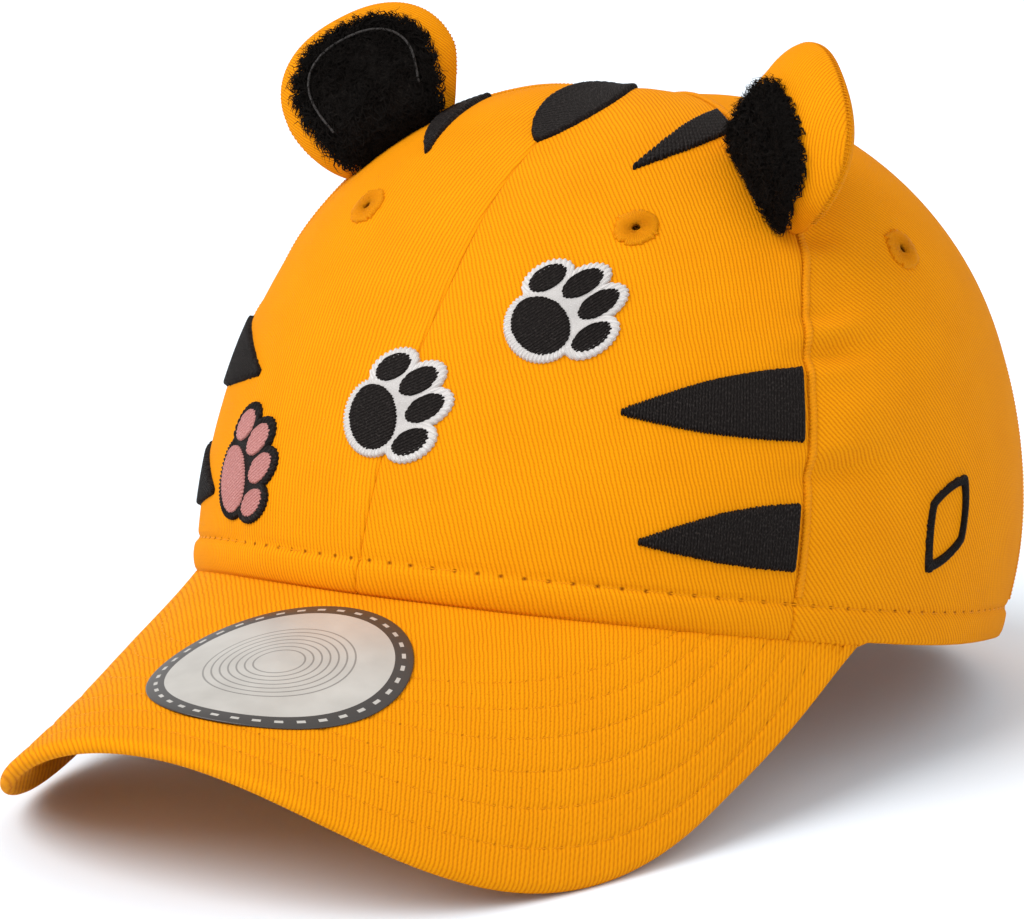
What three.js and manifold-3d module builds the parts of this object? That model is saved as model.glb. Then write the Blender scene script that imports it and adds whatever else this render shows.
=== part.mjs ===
// A child's six-panel baseball cap with two stuffed ears, in millimetres.
// The cap is laid out on its hem: the hem plane is z = 0, the visor points along -Y and
// the wearer's left is +X. At the end it is leaned back until it stands on the visor's two
// lobes and the hem at the back, with the origin under the middle of its outer box.
import * as THREE from 'three';
import Module from 'manifold-3d';
import { mergeVertices } from 'three/addons/utils/BufferGeometryUtils.js';

const wasm = await Module();
wasm.setup();

// Crown
const CROWN_WIDTH = 149.2;
const CROWN_LENGTH = 175.8;
const CROWN_HEIGHT = 98.7;
const CROWN_BULGE = 0.058;
const APEX_FORWARD = 7.6;
const CLOTH_WALL = 1.7;
const PANEL_GAP = 0.32;
const TIP_RADIUS = 1.6;
const HEM_DROP = 2.2;
const APEX_DIMPLE = 1.4;
const HEM_TUCK = 1.3;
const PUFF_DEPTH = 2.4;
const DENT_DEPTH = 1.6;

// Seams, in degrees round the crown from the middle of the front
const SIDE_SEAM = 59.4;
const REAR_SEAM = 120;
const BACK_SEAM = 180;
const EAR_PULL = 2;

// How each direction's profile rises: rim closeness and rise over the quarter turn
const PROFILE = {
  front: { rim: 1.008, rise: 1.422 },
  side: { rim: 0.76, rise: 0.849 },
  back: { rim: 0.911, rise: 1.31 },
};

// Back opening, its binding, the strap and the sweatband
const OPENING_HALF_TURN = 27;
const OPENING_HEIGHT = 47;
const STRAP_WIDTH = 17;
const STRAP_THICKNESS = 1.5;
const STRAP_TUCK = 9;
const STRAP_LAP = 12;
const BINDING_WIDTH = 5;
const BINDING_SETBACK = 0.5;
const TRIM_THICKNESS = 0.8;
const BAND_WIDTH = 27;
const BAND_THICKNESS = 1;
const LAYER_GAP = 0.36;
const LINING_GAP = 0.72;

// Visor
const VISOR_REACH = 60.4;
const VISOR_HALF_WIDTH = 68.4;
const VISOR_THICKNESS = 3;
const VISOR_CORNER = 70.5;
const VISOR_FALL = 0.447;
const VISOR_SIDE_FALL = 0.645;
const VISOR_FALL_POWER = 2.2;
const VISOR_SQUARENESS = 2.39;
const VISOR_SKEW = 0.7;
const VISOR_PULL = 0.168;
const STICKER_WIDTH = 45.4;
const STICKER_LENGTH = 48;
const STICKER_SETBACK = 33;
const STICKER_ASIDE = 3.8;
const STICKER_THICKNESS = 0.35;

// Ears
const EAR_WIDTH = 35;
const EAR_HEIGHT = 27;
const EAR_BASE = 24;
const EAR_FRONT_BULGE = 7.5;
const EAR_BACK_BULGE = 4;

const FUR_BORDER = 4.5;
const FUR_DEPTH = 2.8;
const FUR_SEAT = 0.8;
const FUR_LOCK = 1.1;
const FUR_LOCKS = 18;

// Embroidery and eyelets
const THREAD_HEIGHT = 0.9;
const STRIPE_TIP_HALF = 0.003;
const STRIPE_SEAM_GAP = 1.2;
const CENTRE_STRIPE_HALF_WIDTH = 6.4;
const EYELET_RADIUS = 4.1;
const EYELET_HOLE = 1.1;
const LEAF_LENGTH = 21;
const LEAF_WIDTH = 14;
const LEAF_LINE = 1.7;
const LEAF_POINT = 1.25;
const PAW_SIZE = 25;
const PAW_BORDER = 1.3;

// Panels in order round the crown; puff is a share of PUFF_DEPTH
const PANELS = [
  { name: 'front_panel_left', from: 0, to: SIDE_SEAM, puff: 0.25 },
  { name: 'side_panel_left', from: SIDE_SEAM, to: REAR_SEAM, puff: 0.5 },
  { name: 'back_panel_left', from: REAR_SEAM, to: BACK_SEAM, puff: 1 },
  { name: 'back_panel_right', from: -BACK_SEAM, to: -REAR_SEAM, puff: 1 },
  { name: 'side_panel_right', from: -REAR_SEAM, to: -SIDE_SEAM, puff: 0.5 },
  { name: 'front_panel_right', from: -SIDE_SEAM, to: 0, puff: 0.25 },
];

// Dents and folds: where (degrees round, share up), how far they spread, and how deep as
// a share of DENT_DEPTH. A negative depth stands proud.
const DENTS = [
  { turn: -3, up: 0.46, spread: 8, tall: 0.1, depth: 0.7 },
  { turn: 25, up: 0.27, spread: 11, tall: 0.07, depth: 0.55 },
  { turn: 12, up: 0.58, spread: 12, tall: 0.06, depth: -0.45 },
  { turn: -24, up: 0.52, spread: 10, tall: 0.06, depth: 0.45 },
  { turn: 66, up: 0.43, spread: 7, tall: 0.035, depth: 0.9 },
  { turn: 68, up: 0.34, spread: 9, tall: 0.035, depth: 0.8 },
  { turn: 67, up: 0.25, spread: 8, tall: 0.035, depth: -0.6 },
  { turn: 70, up: 0.17, spread: 9, tall: 0.04, depth: 0.7 },
  { turn: -68, up: 0.38, spread: 9, tall: 0.045, depth: 0.8 },
  { turn: -67, up: 0.22, spread: 8, tall: 0.045, depth: 0.6 },
  { turn: 100, up: 0.3, spread: 14, tall: 0.1, depth: 0.8 },
  { turn: -98, up: 0.34, spread: 14, tall: 0.1, depth: 0.7 },
  { turn: 140, up: 0.62, spread: 10, tall: 0.08, depth: 0.7 },
  { turn: -143, up: 0.58, spread: 10, tall: 0.08, depth: 0.8 },
];

// Where the hem dips, in degrees round, and how far as a share of HEM_DROP; a negative drop
// is a rise
const HEM_ROWS = [
  { turn: 0, spread: 70, drop: 0.64 },
  { turn: -60, spread: 24, drop: 0.95 },
  { turn: 118, spread: 24, drop: -0.8 },
  { turn: -118, spread: 24, drop: -0.8 },
  { turn: 180, spread: 50, drop: 0.8 },
];

// Stripes that grow from a point to full width at the side seam
const SEAM_STRIPES = [
  { name: 'stripe_top', turn: 31, tip: 0.645, low: 0.736, high: 0.795, bow: 0.018, sag: 0.004 },
  { name: 'stripe_upper', turn: 33.5, tip: 0.298, low: 0.233, high: 0.321, bow: 0.011, sag: 0.006 },
  { name: 'stripe_lower', turn: 37.5, tip: 0.13, low: 0.08, high: 0.153, bow: 0.012, sag: 0.006 },
];

// Each ear's share up the seam and its set in degrees: rolled towards the apex, leaned back
// and twisted outwards
const EARS = [
  { word: 'left', side: 1, up: 0.622, roll: 8, back: 22, twist: -3 },
  { word: 'right', side: -1, up: 0.64, roll: 11, back: 8, twist: 6 },
];

const EYELETS = [
  { name: 'eyelet_front', turn: 33, up: 0.543 },
  { name: 'eyelet_side', turn: 81, up: 0.484 },
  { name: 'eyelet_back', turn: 147, up: 0.53 },
];

// Paw prints walk up across the front; lean is the turn of each print in degrees
const PAWS = [
  { name: 'paw_print_low', turn: -28, up: 0.175, lean: 50, colour: 'pink' },
  { name: 'paw_print_middle', turn: -1, up: 0.3, lean: 58, colour: 'black' },
  { name: 'paw_print_high', turn: 22, up: 0.425, lean: 52, colour: 'black' },
];

// One print's pads: centre and half sizes as shares of PAW_SIZE
const PADS = [
  { across: 0, up: -0.13, halfWidth: 0.27, halfHeight: 0.2 },
  { across: -0.33, up: 0.1, halfWidth: 0.1, halfHeight: 0.15 },
  { across: -0.12, up: 0.27, halfWidth: 0.1, halfHeight: 0.16 },
  { across: 0.12, up: 0.27, halfWidth: 0.1, halfHeight: 0.16 },
  { across: 0.33, up: 0.1, halfWidth: 0.1, halfHeight: 0.15 },
];

const CLOTH = { color: 0xf39b09, roughness: 0.85, metalness: 0 };
const LINING = { color: 0xe88d07, roughness: 0.9, metalness: 0 };
const BLACK_THREAD = { color: 0x27221f, roughness: 0.6, metalness: 0 };
const PINK_THREAD = { color: 0xcd9490, roughness: 0.6, metalness: 0 };
const AMBER_THREAD = { color: 0xf0950a, roughness: 0.6, metalness: 0 };
const FUR = { color: 0x110c09, roughness: 0.95, metalness: 0 };
const FILM = { color: 0xc8c4bc, roughness: 0.35, metalness: 0.3 };

const rad = THREE.MathUtils.degToRad;
const { clamp, lerp, smoothstep } = THREE.MathUtils;
const range = (count) => Array.from({ length: count + 1 }, (_, i) => i / count);

// The hem's height, which wanders a little from its plane
function hemHeight(turn) {
  let height = 0;
  for (const row of HEM_ROWS) {
    const away = Math.abs(((turn - row.turn + 540) % 360) - 180);
    height -= row.drop * HEM_DROP * Math.exp(-((away / row.spread) ** 2));
  }
  return height;
}

// The smooth crown before dents: turn in degrees from the front, up from hem 0 to apex 1
function smoothCrown(turn, up) {
  const c = Math.cos(rad(turn));
  const end = c > 0 ? PROFILE.front : PROFILE.back;
  const rim = lerp(PROFILE.side.rim, end.rim, c * c);
  const rise = lerp(PROFILE.side.rise, end.rise, c * c);
  const psi = (clamp(up, 0, 1) * Math.PI) / 2;
  const reach = Math.cos(psi) ** rim * (1 + CROWN_BULGE * Math.sin(2 * psi));
  const lift = Math.sin(psi) ** rise;
  const x = (CROWN_WIDTH / 2) * reach * Math.sin(rad(turn));
  const y = (-CROWN_LENGTH / 2) * reach * c - APEX_FORWARD * (1 - reach);
  return new THREE.Vector3(x, y, hemHeight(turn) * (1 - lift) + CROWN_HEIGHT * lift);
}

function outward(surface, turn, up) {
  const d = 0.004;
  const low = Math.max(up - d, 0);
  const high = Math.min(up + d, 1);
  const across = surface(turn + 1, up).sub(surface(turn - 1, up));
  const along = surface(turn, high).sub(surface(turn, low));
  return across.cross(along).normalize();
}

// Depth of dents at a place, less the rounding of each panel between its seams
function dentDepth(turn, up) {
  let depth = 0;
  for (const row of DENTS) {
    const far = ((turn - row.turn) / row.spread) ** 2 + ((up - row.up) / row.tall) ** 2;
    depth += row.depth * DENT_DEPTH * Math.exp(-far);
  }
  depth += APEX_DIMPLE * Math.exp(-(((1 - up) / 0.07) ** 2));
  depth += HEM_TUCK * Math.exp(-((up / 0.08) ** 2)) * smoothstep(Math.abs(turn), 80, 110);
  const panel = PANELS.find((row) => turn >= row.from && turn <= row.to);
  if (panel) {
    const share = (turn - panel.from) / (panel.to - panel.from);
    const height = smoothstep(up, 0.25, 0.75) * (1 - smoothstep(up, 0.85, 1));
    depth -= panel.puff * PUFF_DEPTH * Math.sin(Math.PI * share) ** 2 * height;
  }
  return depth;
}

function dentedCrown(turn, up) {
  const at = ((((turn + 180) % 360) + 360) % 360) - 180;
  const depth = dentDepth(at, up);
  return smoothCrown(turn, up).addScaledVector(outward(smoothCrown, turn, up), -depth);
}

// A point `out` millimetres outside the crown's outer face
function crown(turn, up, out = 0) {
  const normal = outward(dentedCrown, turn, up);
  return dentedCrown(turn, up).addScaledVector(normal, out);
}

// Millimetres per degree round the crown, and per unit of up
const perTurn = (turn, up) => smoothCrown(turn + 1, up).distanceTo(smoothCrown(turn - 1, up)) / 2;
function perUp(turn, up) {
  const d = 0.01;
  const low = Math.max(up - d, 0);
  return smoothCrown(turn, up + d).distanceTo(smoothCrown(turn, low)) / (up + d - low);
}

// The share up the crown that lies a given length above the hem
function upAt(turn, length) {
  const steps = range(60);
  let gone = 0;
  let last = smoothCrown(turn, 0);
  for (const up of steps.slice(1)) {
    const next = smoothCrown(turn, up);
    const piece = next.distanceTo(last);
    if (gone + piece >= length) return up - (1 - (length - gone) / piece) / 60;
    gone += piece;
    last = next;
  }
  return 1;
}

// The side seam bows back a little where the ear pulls on it
const sideSeam = (up) => SIDE_SEAM + EAR_PULL * Math.exp(-(((up - 0.51) / 0.09) ** 2));
function seamTurn(turn, up) {
  return Math.abs(turn) === SIDE_SEAM ? Math.sign(turn) * sideSeam(up) : turn;
}

// Where the panels stop short of the apex
function tipUp() {
  const apex = smoothCrown(0, 1);
  let low = 0.9;
  let high = 1;
  for (let step = 0; step < 30; step += 1) {
    const mid = (low + high) / 2;
    const p = smoothCrown(90, mid);
    if (Math.hypot(p.x - apex.x, p.y - apex.y) > TIP_RADIUS) low = mid;
    else high = mid;
  }
  return low;
}

const TIP_UP = tipUp();

// Closed bodies from an outer and an inner grid of points, [across][along]
class Body {
  constructor() {
    this.points = [];
    this.faces = [];
  }

  add(point) {
    this.points.push(point.x, point.y, point.z);
    return this.points.length / 3 - 1;
  }

  quad(a, b, c, d) {
    this.faces.push(a, b, c, a, c, d);
  }

  geometry() {
    const geometry = new THREE.BufferGeometry();
    geometry.setAttribute('position', new THREE.Float32BufferAttribute(this.points, 3));
    geometry.setIndex(this.faces);
    geometry.computeVertexNormals();
    return geometry;
  }
}

// outer and inner hold columns of points; a closed sheet's last column meets its first
function sheetBody(outer, inner, closed = false) {
  const body = new Body();
  const front = outer.map((column) => column.map((p) => body.add(p)));
  const rear = inner.map((column) => column.map((p) => body.add(p)));
  const rows = front[0].length - 1;
  const columns = closed ? front.length : front.length - 1;
  for (let i = 0; i < columns; i += 1) {
    const k = (i + 1) % front.length;
    for (let j = 0; j < rows; j += 1) {
      body.quad(front[i][j], front[k][j], front[k][j + 1], front[i][j + 1]);
      body.quad(rear[i][j], rear[i][j + 1], rear[k][j + 1], rear[k][j]);
    }
    body.quad(front[i][0], rear[i][0], rear[k][0], front[k][0]);
    body.quad(front[i][rows], front[k][rows], rear[k][rows], rear[i][rows]);
  }
  if (!closed) {
    for (let j = 0; j < rows; j += 1) {
      body.quad(front[0][j], front[0][j + 1], rear[0][j + 1], rear[0][j]);
      body.quad(front[columns][j], rear[columns][j], rear[columns][j + 1], front[columns][j + 1]);
    }
  }
  return body.geometry();
}

// A round pad: rims of points from the outside in, closed by one point at the middle of
// each face. With rimShared the two faces meet along their outer rim.
function padBody(outer, inner, outerMiddle, innerMiddle, rimShared = false) {
  const body = new Body();
  const front = outer.map((ring) => ring.map((p) => body.add(p)));
  const rear = inner.map((ring, j) => (rimShared && j === 0 ? front[0] : ring.map((p) => body.add(p))));
  const top = body.add(outerMiddle);
  const bottom = body.add(innerMiddle);
  const count = front[0].length;
  const last = front.length - 1;
  for (let i = 0; i < count; i += 1) {
    const k = (i + 1) % count;
    for (let j = 0; j < last; j += 1) {
      body.quad(front[j][i], front[j][k], front[j + 1][k], front[j + 1][i]);
      body.quad(rear[j][i], rear[j + 1][i], rear[j + 1][k], rear[j][k]);
    }
    body.faces.push(front[last][i], front[last][k], top);
    body.faces.push(rear[last][k], rear[last][i], bottom);
    if (!rimShared) body.quad(front[0][i], rear[0][i], rear[0][k], front[0][k]);
  }
  return body.geometry();
}

function toManifold(geometry) {
  const plain = geometry.clone();
  plain.deleteAttribute('normal');
  plain.deleteAttribute('uv');
  const merged = mergeVertices(plain);
  const vertProperties = new Float32Array(merged.attributes.position.array);
  const triVerts = new Uint32Array(merged.index.array);
  return new wasm.Manifold(new wasm.Mesh({ numProp: 3, vertProperties, triVerts }));
}

function fromManifold(solid) {
  const mesh = solid.getMesh();
  const geometry = new THREE.BufferGeometry();
  geometry.setAttribute('position', new THREE.Float32BufferAttribute(mesh.vertProperties, 3));
  geometry.setIndex(new THREE.Uint32BufferAttribute(mesh.triVerts, 1));
  geometry.computeVertexNormals();
  return geometry;
}

const cap = new THREE.Group();
const SIDES = { left: 1, right: -1 };

function piece(name, geometry, finish) {
  const mesh = new THREE.Mesh(geometry, new THREE.MeshStandardMaterial(finish));
  mesh.name = name;
  cap.add(mesh);
  return mesh;
}

// Crown panels, with the back opening cut out of the two rear ones
const OPENING_UP = upAt(BACK_SEAM, OPENING_HEIGHT);

function openingUp(turn) {
  const share = (BACK_SEAM - Math.abs(turn)) / OPENING_HALF_TURN;
  return share < 1 ? OPENING_UP * Math.sqrt(1 - share * share) : 0;
}

function panelColumns(panel) {
  const meetsBack = Math.max(Math.abs(panel.from), Math.abs(panel.to)) === BACK_SEAM;
  if (!meetsBack) return range(10);
  const width = BACK_SEAM - REAR_SEAM;
  const solid = 1 - OPENING_HALF_TURN / width;
  const arch = range(6).map((t) => 1 - (1 - solid) * Math.cos((t * Math.PI) / 2));
  const shares = [...range(5).map((t) => t * solid).slice(0, -1), ...arch];
  return panel.to > 0 ? shares : shares.map((t) => 1 - t).reverse();
}

function panelGeometry(panel) {
  const outer = [];
  const inner = [];
  for (const share of panelColumns(panel)) {
    const lowest = openingUp(lerp(panel.from, panel.to, share));
    const column = range(16).map((t) => {
      const up = lerp(lowest, TIP_UP, t);
      const inset = PANEL_GAP / 2 / perTurn(panel.from, up);
      const turn = lerp(seamTurn(panel.from, up) + inset, seamTurn(panel.to, up) - inset, share);
      return { turn, up };
    });
    outer.push(column.map(({ turn, up }) => crown(turn, up)));
    inner.push(column.map(({ turn, up }) => crown(turn, up, -CLOTH_WALL)));
  }
  return sheetBody(outer, inner);
}

function eyeletDrill(row, side) {
  const drill = new THREE.CylinderGeometry(EYELET_HOLE, EYELET_HOLE, CLOTH_WALL * 4, 8);
  const turn = row.turn * side;
  const normal = outward(dentedCrown, turn, row.up);
  drill.applyQuaternion(new THREE.Quaternion().setFromUnitVectors(new THREE.Vector3(0, 1, 0), normal));
  const centre = crown(turn, row.up);
  drill.translate(centre.x, centre.y, centre.z);
  return toManifold(drill);
}

function addPanels() {
  for (const panel of PANELS) {
    let solid = toManifold(panelGeometry(panel));
    for (const row of EYELETS) {
      for (const side of Object.values(SIDES)) {
        const turn = row.turn * side;
        if (turn > panel.from && turn < panel.to) solid = solid.subtract(eyeletDrill(row, side));
      }
    }
    piece(panel.name, fromManifold(solid), CLOTH);
  }
}

// Visor: a bent board whose top leaves the hem line and falls forward, more at its sides
const CORNER_X = (CROWN_WIDTH / 2) * Math.sin(rad(VISOR_CORNER));
const CORNER_REACH = (CROWN_LENGTH / 2) * Math.cos(rad(VISOR_CORNER));
const VISOR_TIP = CROWN_LENGTH / 2 + VISOR_REACH;

function visorTop(x, reach) {
  const turn = Math.asin(clamp(x, -CORNER_X, CORNER_X) / (CROWN_WIDTH / 2));
  const past = Math.max(reach - (CROWN_LENGTH / 2) * Math.cos(turn), 0);
  const sideways = (Math.abs(x) / VISOR_HALF_WIDTH) ** VISOR_FALL_POWER;
  const fall = VISOR_FALL + VISOR_SIDE_FALL * sideways;
  const degrees = THREE.MathUtils.radToDeg(turn);
  const even = smoothstep(past, 0, VISOR_REACH * 0.4);
  const hem = lerp(hemHeight(degrees), hemHeight(Math.abs(degrees)), even) - LAYER_GAP;
  return new THREE.Vector3(x, -reach, hem - fall * past);
}

function visorNormal(x, reach) {
  const d = 0.5;
  const across = visorTop(x + d, reach).sub(visorTop(x - d, reach));
  const back = visorTop(x, reach - d).sub(visorTop(x, reach + d));
  return across.cross(back).normalize();
}

function visorEdge(u) {
  const angle = (u * Math.PI) / 2;
  const power = 2 / VISOR_SQUARENESS;
  const round = Math.sign(u) * VISOR_HALF_WIDTH * Math.abs(Math.sin(angle)) ** power;
  const pull = clamp((Math.abs(u) - 1 + VISOR_PULL) / VISOR_PULL, 0, 1) ** 2;
  const x = lerp(round, Math.sign(u) * CORNER_X, pull) + VISOR_SKEW * Math.cos(angle);
  const reach = CORNER_REACH + (VISOR_TIP - CORNER_REACH) * Math.cos(angle) ** power;
  return { x, reach };
}

// Plan place on the visor: u across from corner to corner, v from the seam to the edge
function visorPlace(u, v) {
  const seam = smoothCrown(u * VISOR_CORNER, 0);
  const tuck = 1 - (CLOTH_WALL / 2 / -seam.y) * (1 - v);
  const edge = visorEdge(u);
  return { x: lerp(seam.x * tuck, edge.x, v), reach: lerp(-seam.y * tuck, edge.reach, v) };
}

const VISOR_END = 0.985;
const VISOR_ROWS = [
  { v: 0, top: 0, bottom: 1 },
  { v: 0.18, top: 0, bottom: 1 },
  { v: 0.38, top: 0, bottom: 1 },
  { v: 0.58, top: 0, bottom: 1 },
  { v: 0.78, top: 0, bottom: 1 },
  { v: 0.95, top: 0, bottom: 1 },
  { v: 0.99, top: 0.12, bottom: 0.88 },
  { v: 1, top: 0.34, bottom: 0.66 },
];

function addVisor() {
  const columns = range(26).map((t) => VISOR_END * (2 * t - 1));
  const face = (part) =>
    columns.map((u) =>
      VISOR_ROWS.map((row) => {
        const { x, reach } = visorPlace(u, row.v);
        return visorTop(x, reach).addScaledVector(visorNormal(x, reach), -row[part] * VISOR_THICKNESS);
      }),
    );
  piece('visor', sheetBody(face('bottom'), face('top')), CLOTH);
}

// Round sticker that follows the visor's top
function addSticker() {
  const centre = visorTop(STICKER_ASIDE, VISOR_TIP - STICKER_SETBACK);
  const normal = visorNormal(centre.x, -centre.y);
  const up = normal.clone().cross(new THREE.Vector3(1, 0, 0)).normalize();
  const across = up.clone().cross(normal);
  const onVisor = (a, b, out) => {
    const point = centre.clone().addScaledVector(across, a).addScaledVector(up, b);
    for (let step = 0; step < 8; step += 1) {
      point.addScaledVector(normal, visorTop(point.x, -point.y).z - point.z);
    }
    return point.addScaledVector(visorNormal(point.x, -point.y), out);
  };
  const ring = (share, out) =>
    range(24)
      .slice(1)
      .map((t) => 2 * Math.PI * t)
      .map((angle) => [Math.cos(angle) * STICKER_WIDTH, Math.sin(angle) * STICKER_LENGTH])
      .map(([wide, long]) => onVisor((wide / 2) * share, (long / 2) * share, out));
  const rings = [1, 0.66, 0.33];
  const film = LAYER_GAP + STICKER_THICKNESS;
  const outer = rings.map((share) => ring(share, film));
  const inner = rings.map((share) => ring(share, LAYER_GAP));
  piece('visor_sticker', padBody(outer, inner, onVisor(0, 0, film), onVisor(0, 0, LAYER_GAP)), FILM);
}

// Embroidery lies on the crown with a small gap under it
function stitched(turn, up, raised = THREAD_HEIGHT) {
  return [crown(turn, up, LAYER_GAP + raised), crown(turn, up, LAYER_GAP)];
}

function stitchedSheet(places) {
  const pairs = places.map((column) => column.map(({ turn, up }) => stitched(turn, up)));
  const outer = pairs.map((column) => column.map((pair) => pair[0]));
  const inner = pairs.map((column) => column.map((pair) => pair[1]));
  return sheetBody(outer, inner);
}

const STRIPE_STEPS = 7;

function seamStripe(row, side) {
  const columns = range(STRIPE_STEPS).map((t) => {
    const low = lerp(row.tip, row.low, t) - row.sag * Math.sin(Math.PI * t) - STRIPE_TIP_HALF;
    const high = lerp(row.tip, row.high, t) + row.bow * Math.sin(Math.PI * t) + STRIPE_TIP_HALF;
    const end = sideSeam((low + high) / 2) - STRIPE_SEAM_GAP / perTurn(SIDE_SEAM, high);
    const turn = lerp(row.turn, end, t);
    return range(2).map((k) => ({ turn: side * turn, up: lerp(low, high, k) }));
  });
  return stitchedSheet(side > 0 ? columns : columns.reverse());
}

// The middle stripe tapers both ways, down to the front seam and up to the apex
const CENTRE_STRIPE = { from: 0.705, to: 0.965, steps: 9 };

function centreStripe() {
  const rows = range(CENTRE_STRIPE.steps).map((t) => {
    const up = lerp(CENTRE_STRIPE.from, CENTRE_STRIPE.to, t);
    const half = 0.4 + CENTRE_STRIPE_HALF_WIDTH * Math.sin(Math.PI * t ** 0.85) ** 0.9;
    return { up, half: Math.min(half / perTurn(0, up), 50) };
  });
  const columns = range(4).map((t) => rows.map(({ up, half }) => ({ turn: (2 * t - 1) * half, up })));
  return stitchedSheet(columns);
}

function addStripes() {
  for (const row of SEAM_STRIPES) {
    for (const [word, side] of Object.entries(SIDES)) {
      piece(`${row.name}_${word}`, seamStripe(row, side), BLACK_THREAD);
    }
  }
  piece('stripe_top_center', centreStripe(), BLACK_THREAD);
}

// A flat patch drawn about a centre: a across and b up, in millimetres
function patchPlace(centre, a, b) {
  const up = centre.up + b / perUp(centre.turn, centre.up);
  return { turn: centre.turn + a / perTurn(centre.turn, up), up };
}

const circle = (count) => range(count).slice(1).map((t) => 2 * Math.PI * t);

// Embroidered ring from an outer to an inner outline, each a length for an angle
function ringPatch(centre, outline, inline, count) {
  const columns = circle(count).map((angle) =>
    range(2).map((t) => {
      const length = lerp(outline(angle), inline(angle), t);
      const { turn, up } = patchPlace(centre, Math.cos(angle) * length, Math.sin(angle) * length);
      return stitched(turn, up, THREAD_HEIGHT * (t === 0.5 ? 1 : 0.5));
    }),
  );
  const outer = columns.map((column) => column.map((pair) => pair[0]));
  const inner = columns.map((column) => column.map((pair) => pair[1]));
  return sheetBody(outer, inner, true);
}

function addEyelets() {
  for (const row of EYELETS) {
    for (const [word, side] of Object.entries(SIDES)) {
      const centre = { turn: row.turn * side, up: row.up };
      const ring = ringPatch(centre, () => EYELET_RADIUS, () => EYELET_HOLE, 12);
      piece(`${row.name}_${word}`, ring, AMBER_THREAD);
    }
  }
}

// Pointed leaf outline on the left side panel, one stitched line wide
const LEAF = { turn: 84.5, up: 0.117, lean: 58 };

function leafOutline(angle, shrink) {
  const along = Math.abs(Math.cos(angle - rad(LEAF.lean)));
  const length = LEAF_LENGTH / 2 - (shrink * LEAF_LENGTH) / LEAF_WIDTH;
  const width = LEAF_WIDTH / 2 - shrink;
  const sideways = Math.sqrt(1 - along * along);
  return 1 / ((along / length) ** LEAF_POINT + (sideways / width) ** LEAF_POINT) ** (1 / LEAF_POINT);
}

function addLeaf() {
  const outline = (angle) => leafOutline(angle, 0);
  const inline = (angle) => leafOutline(angle, LEAF_LINE);
  piece('leaf_left', ringPatch(LEAF, outline, inline, 20), BLACK_THREAD);
}

// Distance from the print's middle to the far side of one oval pad along a ray
function padReach(pad, angle, border) {
  const halfWidth = pad.halfWidth * PAW_SIZE + border;
  const halfHeight = pad.halfHeight * PAW_SIZE + border;
  const dx = Math.cos(angle) / halfWidth;
  const dy = Math.sin(angle) / halfHeight;
  const cx = (pad.across * PAW_SIZE) / halfWidth;
  const cy = (pad.up * PAW_SIZE) / halfHeight;
  const b = dx * cx + dy * cy;
  const a = dx * dx + dy * dy;
  const inside = b * b - a * (cx * cx + cy * cy - 1);
  return inside > 0 ? (b + Math.sqrt(inside)) / a : 0;
}

function pawPrint(paw) {
  const count = 40;
  const shares = [1, 0.78];
  const outline = circle(count).map((angle) => ({
    angle,
    reach: Math.max(...PADS.map((pad) => padReach(pad, angle, PAW_BORDER))),
  }));
  const pairs = shares.map((share) =>
    outline.map(({ angle, reach }) => {
      const turned = angle - rad(paw.lean);
      const { turn, up } = patchPlace(paw, Math.cos(turned) * reach * share, Math.sin(turned) * reach * share);
      return stitched(turn, up, THREAD_HEIGHT * (share === 1 ? 0.6 : 1));
    }),
  );
  const middle = stitched(paw.turn, paw.up);
  const outer = pairs.map((ring) => ring.map((pair) => pair[0]));
  const inner = pairs.map((ring) => ring.map((pair) => pair[1]));
  return padBody(outer, inner, middle[0], middle[1]);
}

function addPaws() {
  const finishes = { pink: PINK_THREAD, black: BLACK_THREAD };
  for (const paw of PAWS) piece(paw.name, pawPrint(paw), finishes[paw.colour]);
}

// Ears: two cloth faces sewn round the edge over stuffing, set in the side seam.
// In an ear's own plane a runs along the seam towards the apex and n runs outwards.
const EAR_MIDDLE = EAR_HEIGHT * 0.44;
const EAR_ROUNDNESS = 0.87;
const AXES = {
  x: new THREE.Vector3(1, 0, 0),
  y: new THREE.Vector3(0, 1, 0),
  z: new THREE.Vector3(0, 0, 1),
};

function earFrame({ side, up, roll, back, twist }) {
  const seamPoint = (share) => crown(side * sideSeam(share), share);
  const middle = seamPoint(up);
  const step = 0.02;
  const along = seamPoint(up + step).sub(seamPoint(up - step)).normalize();
  const out = outward(dentedCrown, side * sideSeam(up), up);
  out.addScaledVector(along, -out.dot(along)).normalize();
  const forward = out.clone().cross(along).multiplyScalar(side);
  const length = perUp(side * SIDE_SEAM, up);
  return (a, n, w) => {
    const rooted = seamPoint(up + a / length).sub(middle);
    const free = smoothstep(n, 0, EAR_HEIGHT * 0.5);
    const sag = rooted.dot(out) * (1 - free);
    const turned = new THREE.Vector3(a, n, w)
      .applyAxisAngle(AXES.z, -rad(roll) * free)
      .applyAxisAngle(AXES.x, -rad(back) * free)
      .applyAxisAngle(AXES.y, -rad(twist) * free);
    return middle
      .clone()
      .addScaledVector(along, turned.x)
      .addScaledVector(out, turned.y + sag)
      .addScaledVector(forward, turned.z);
  };
}

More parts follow.
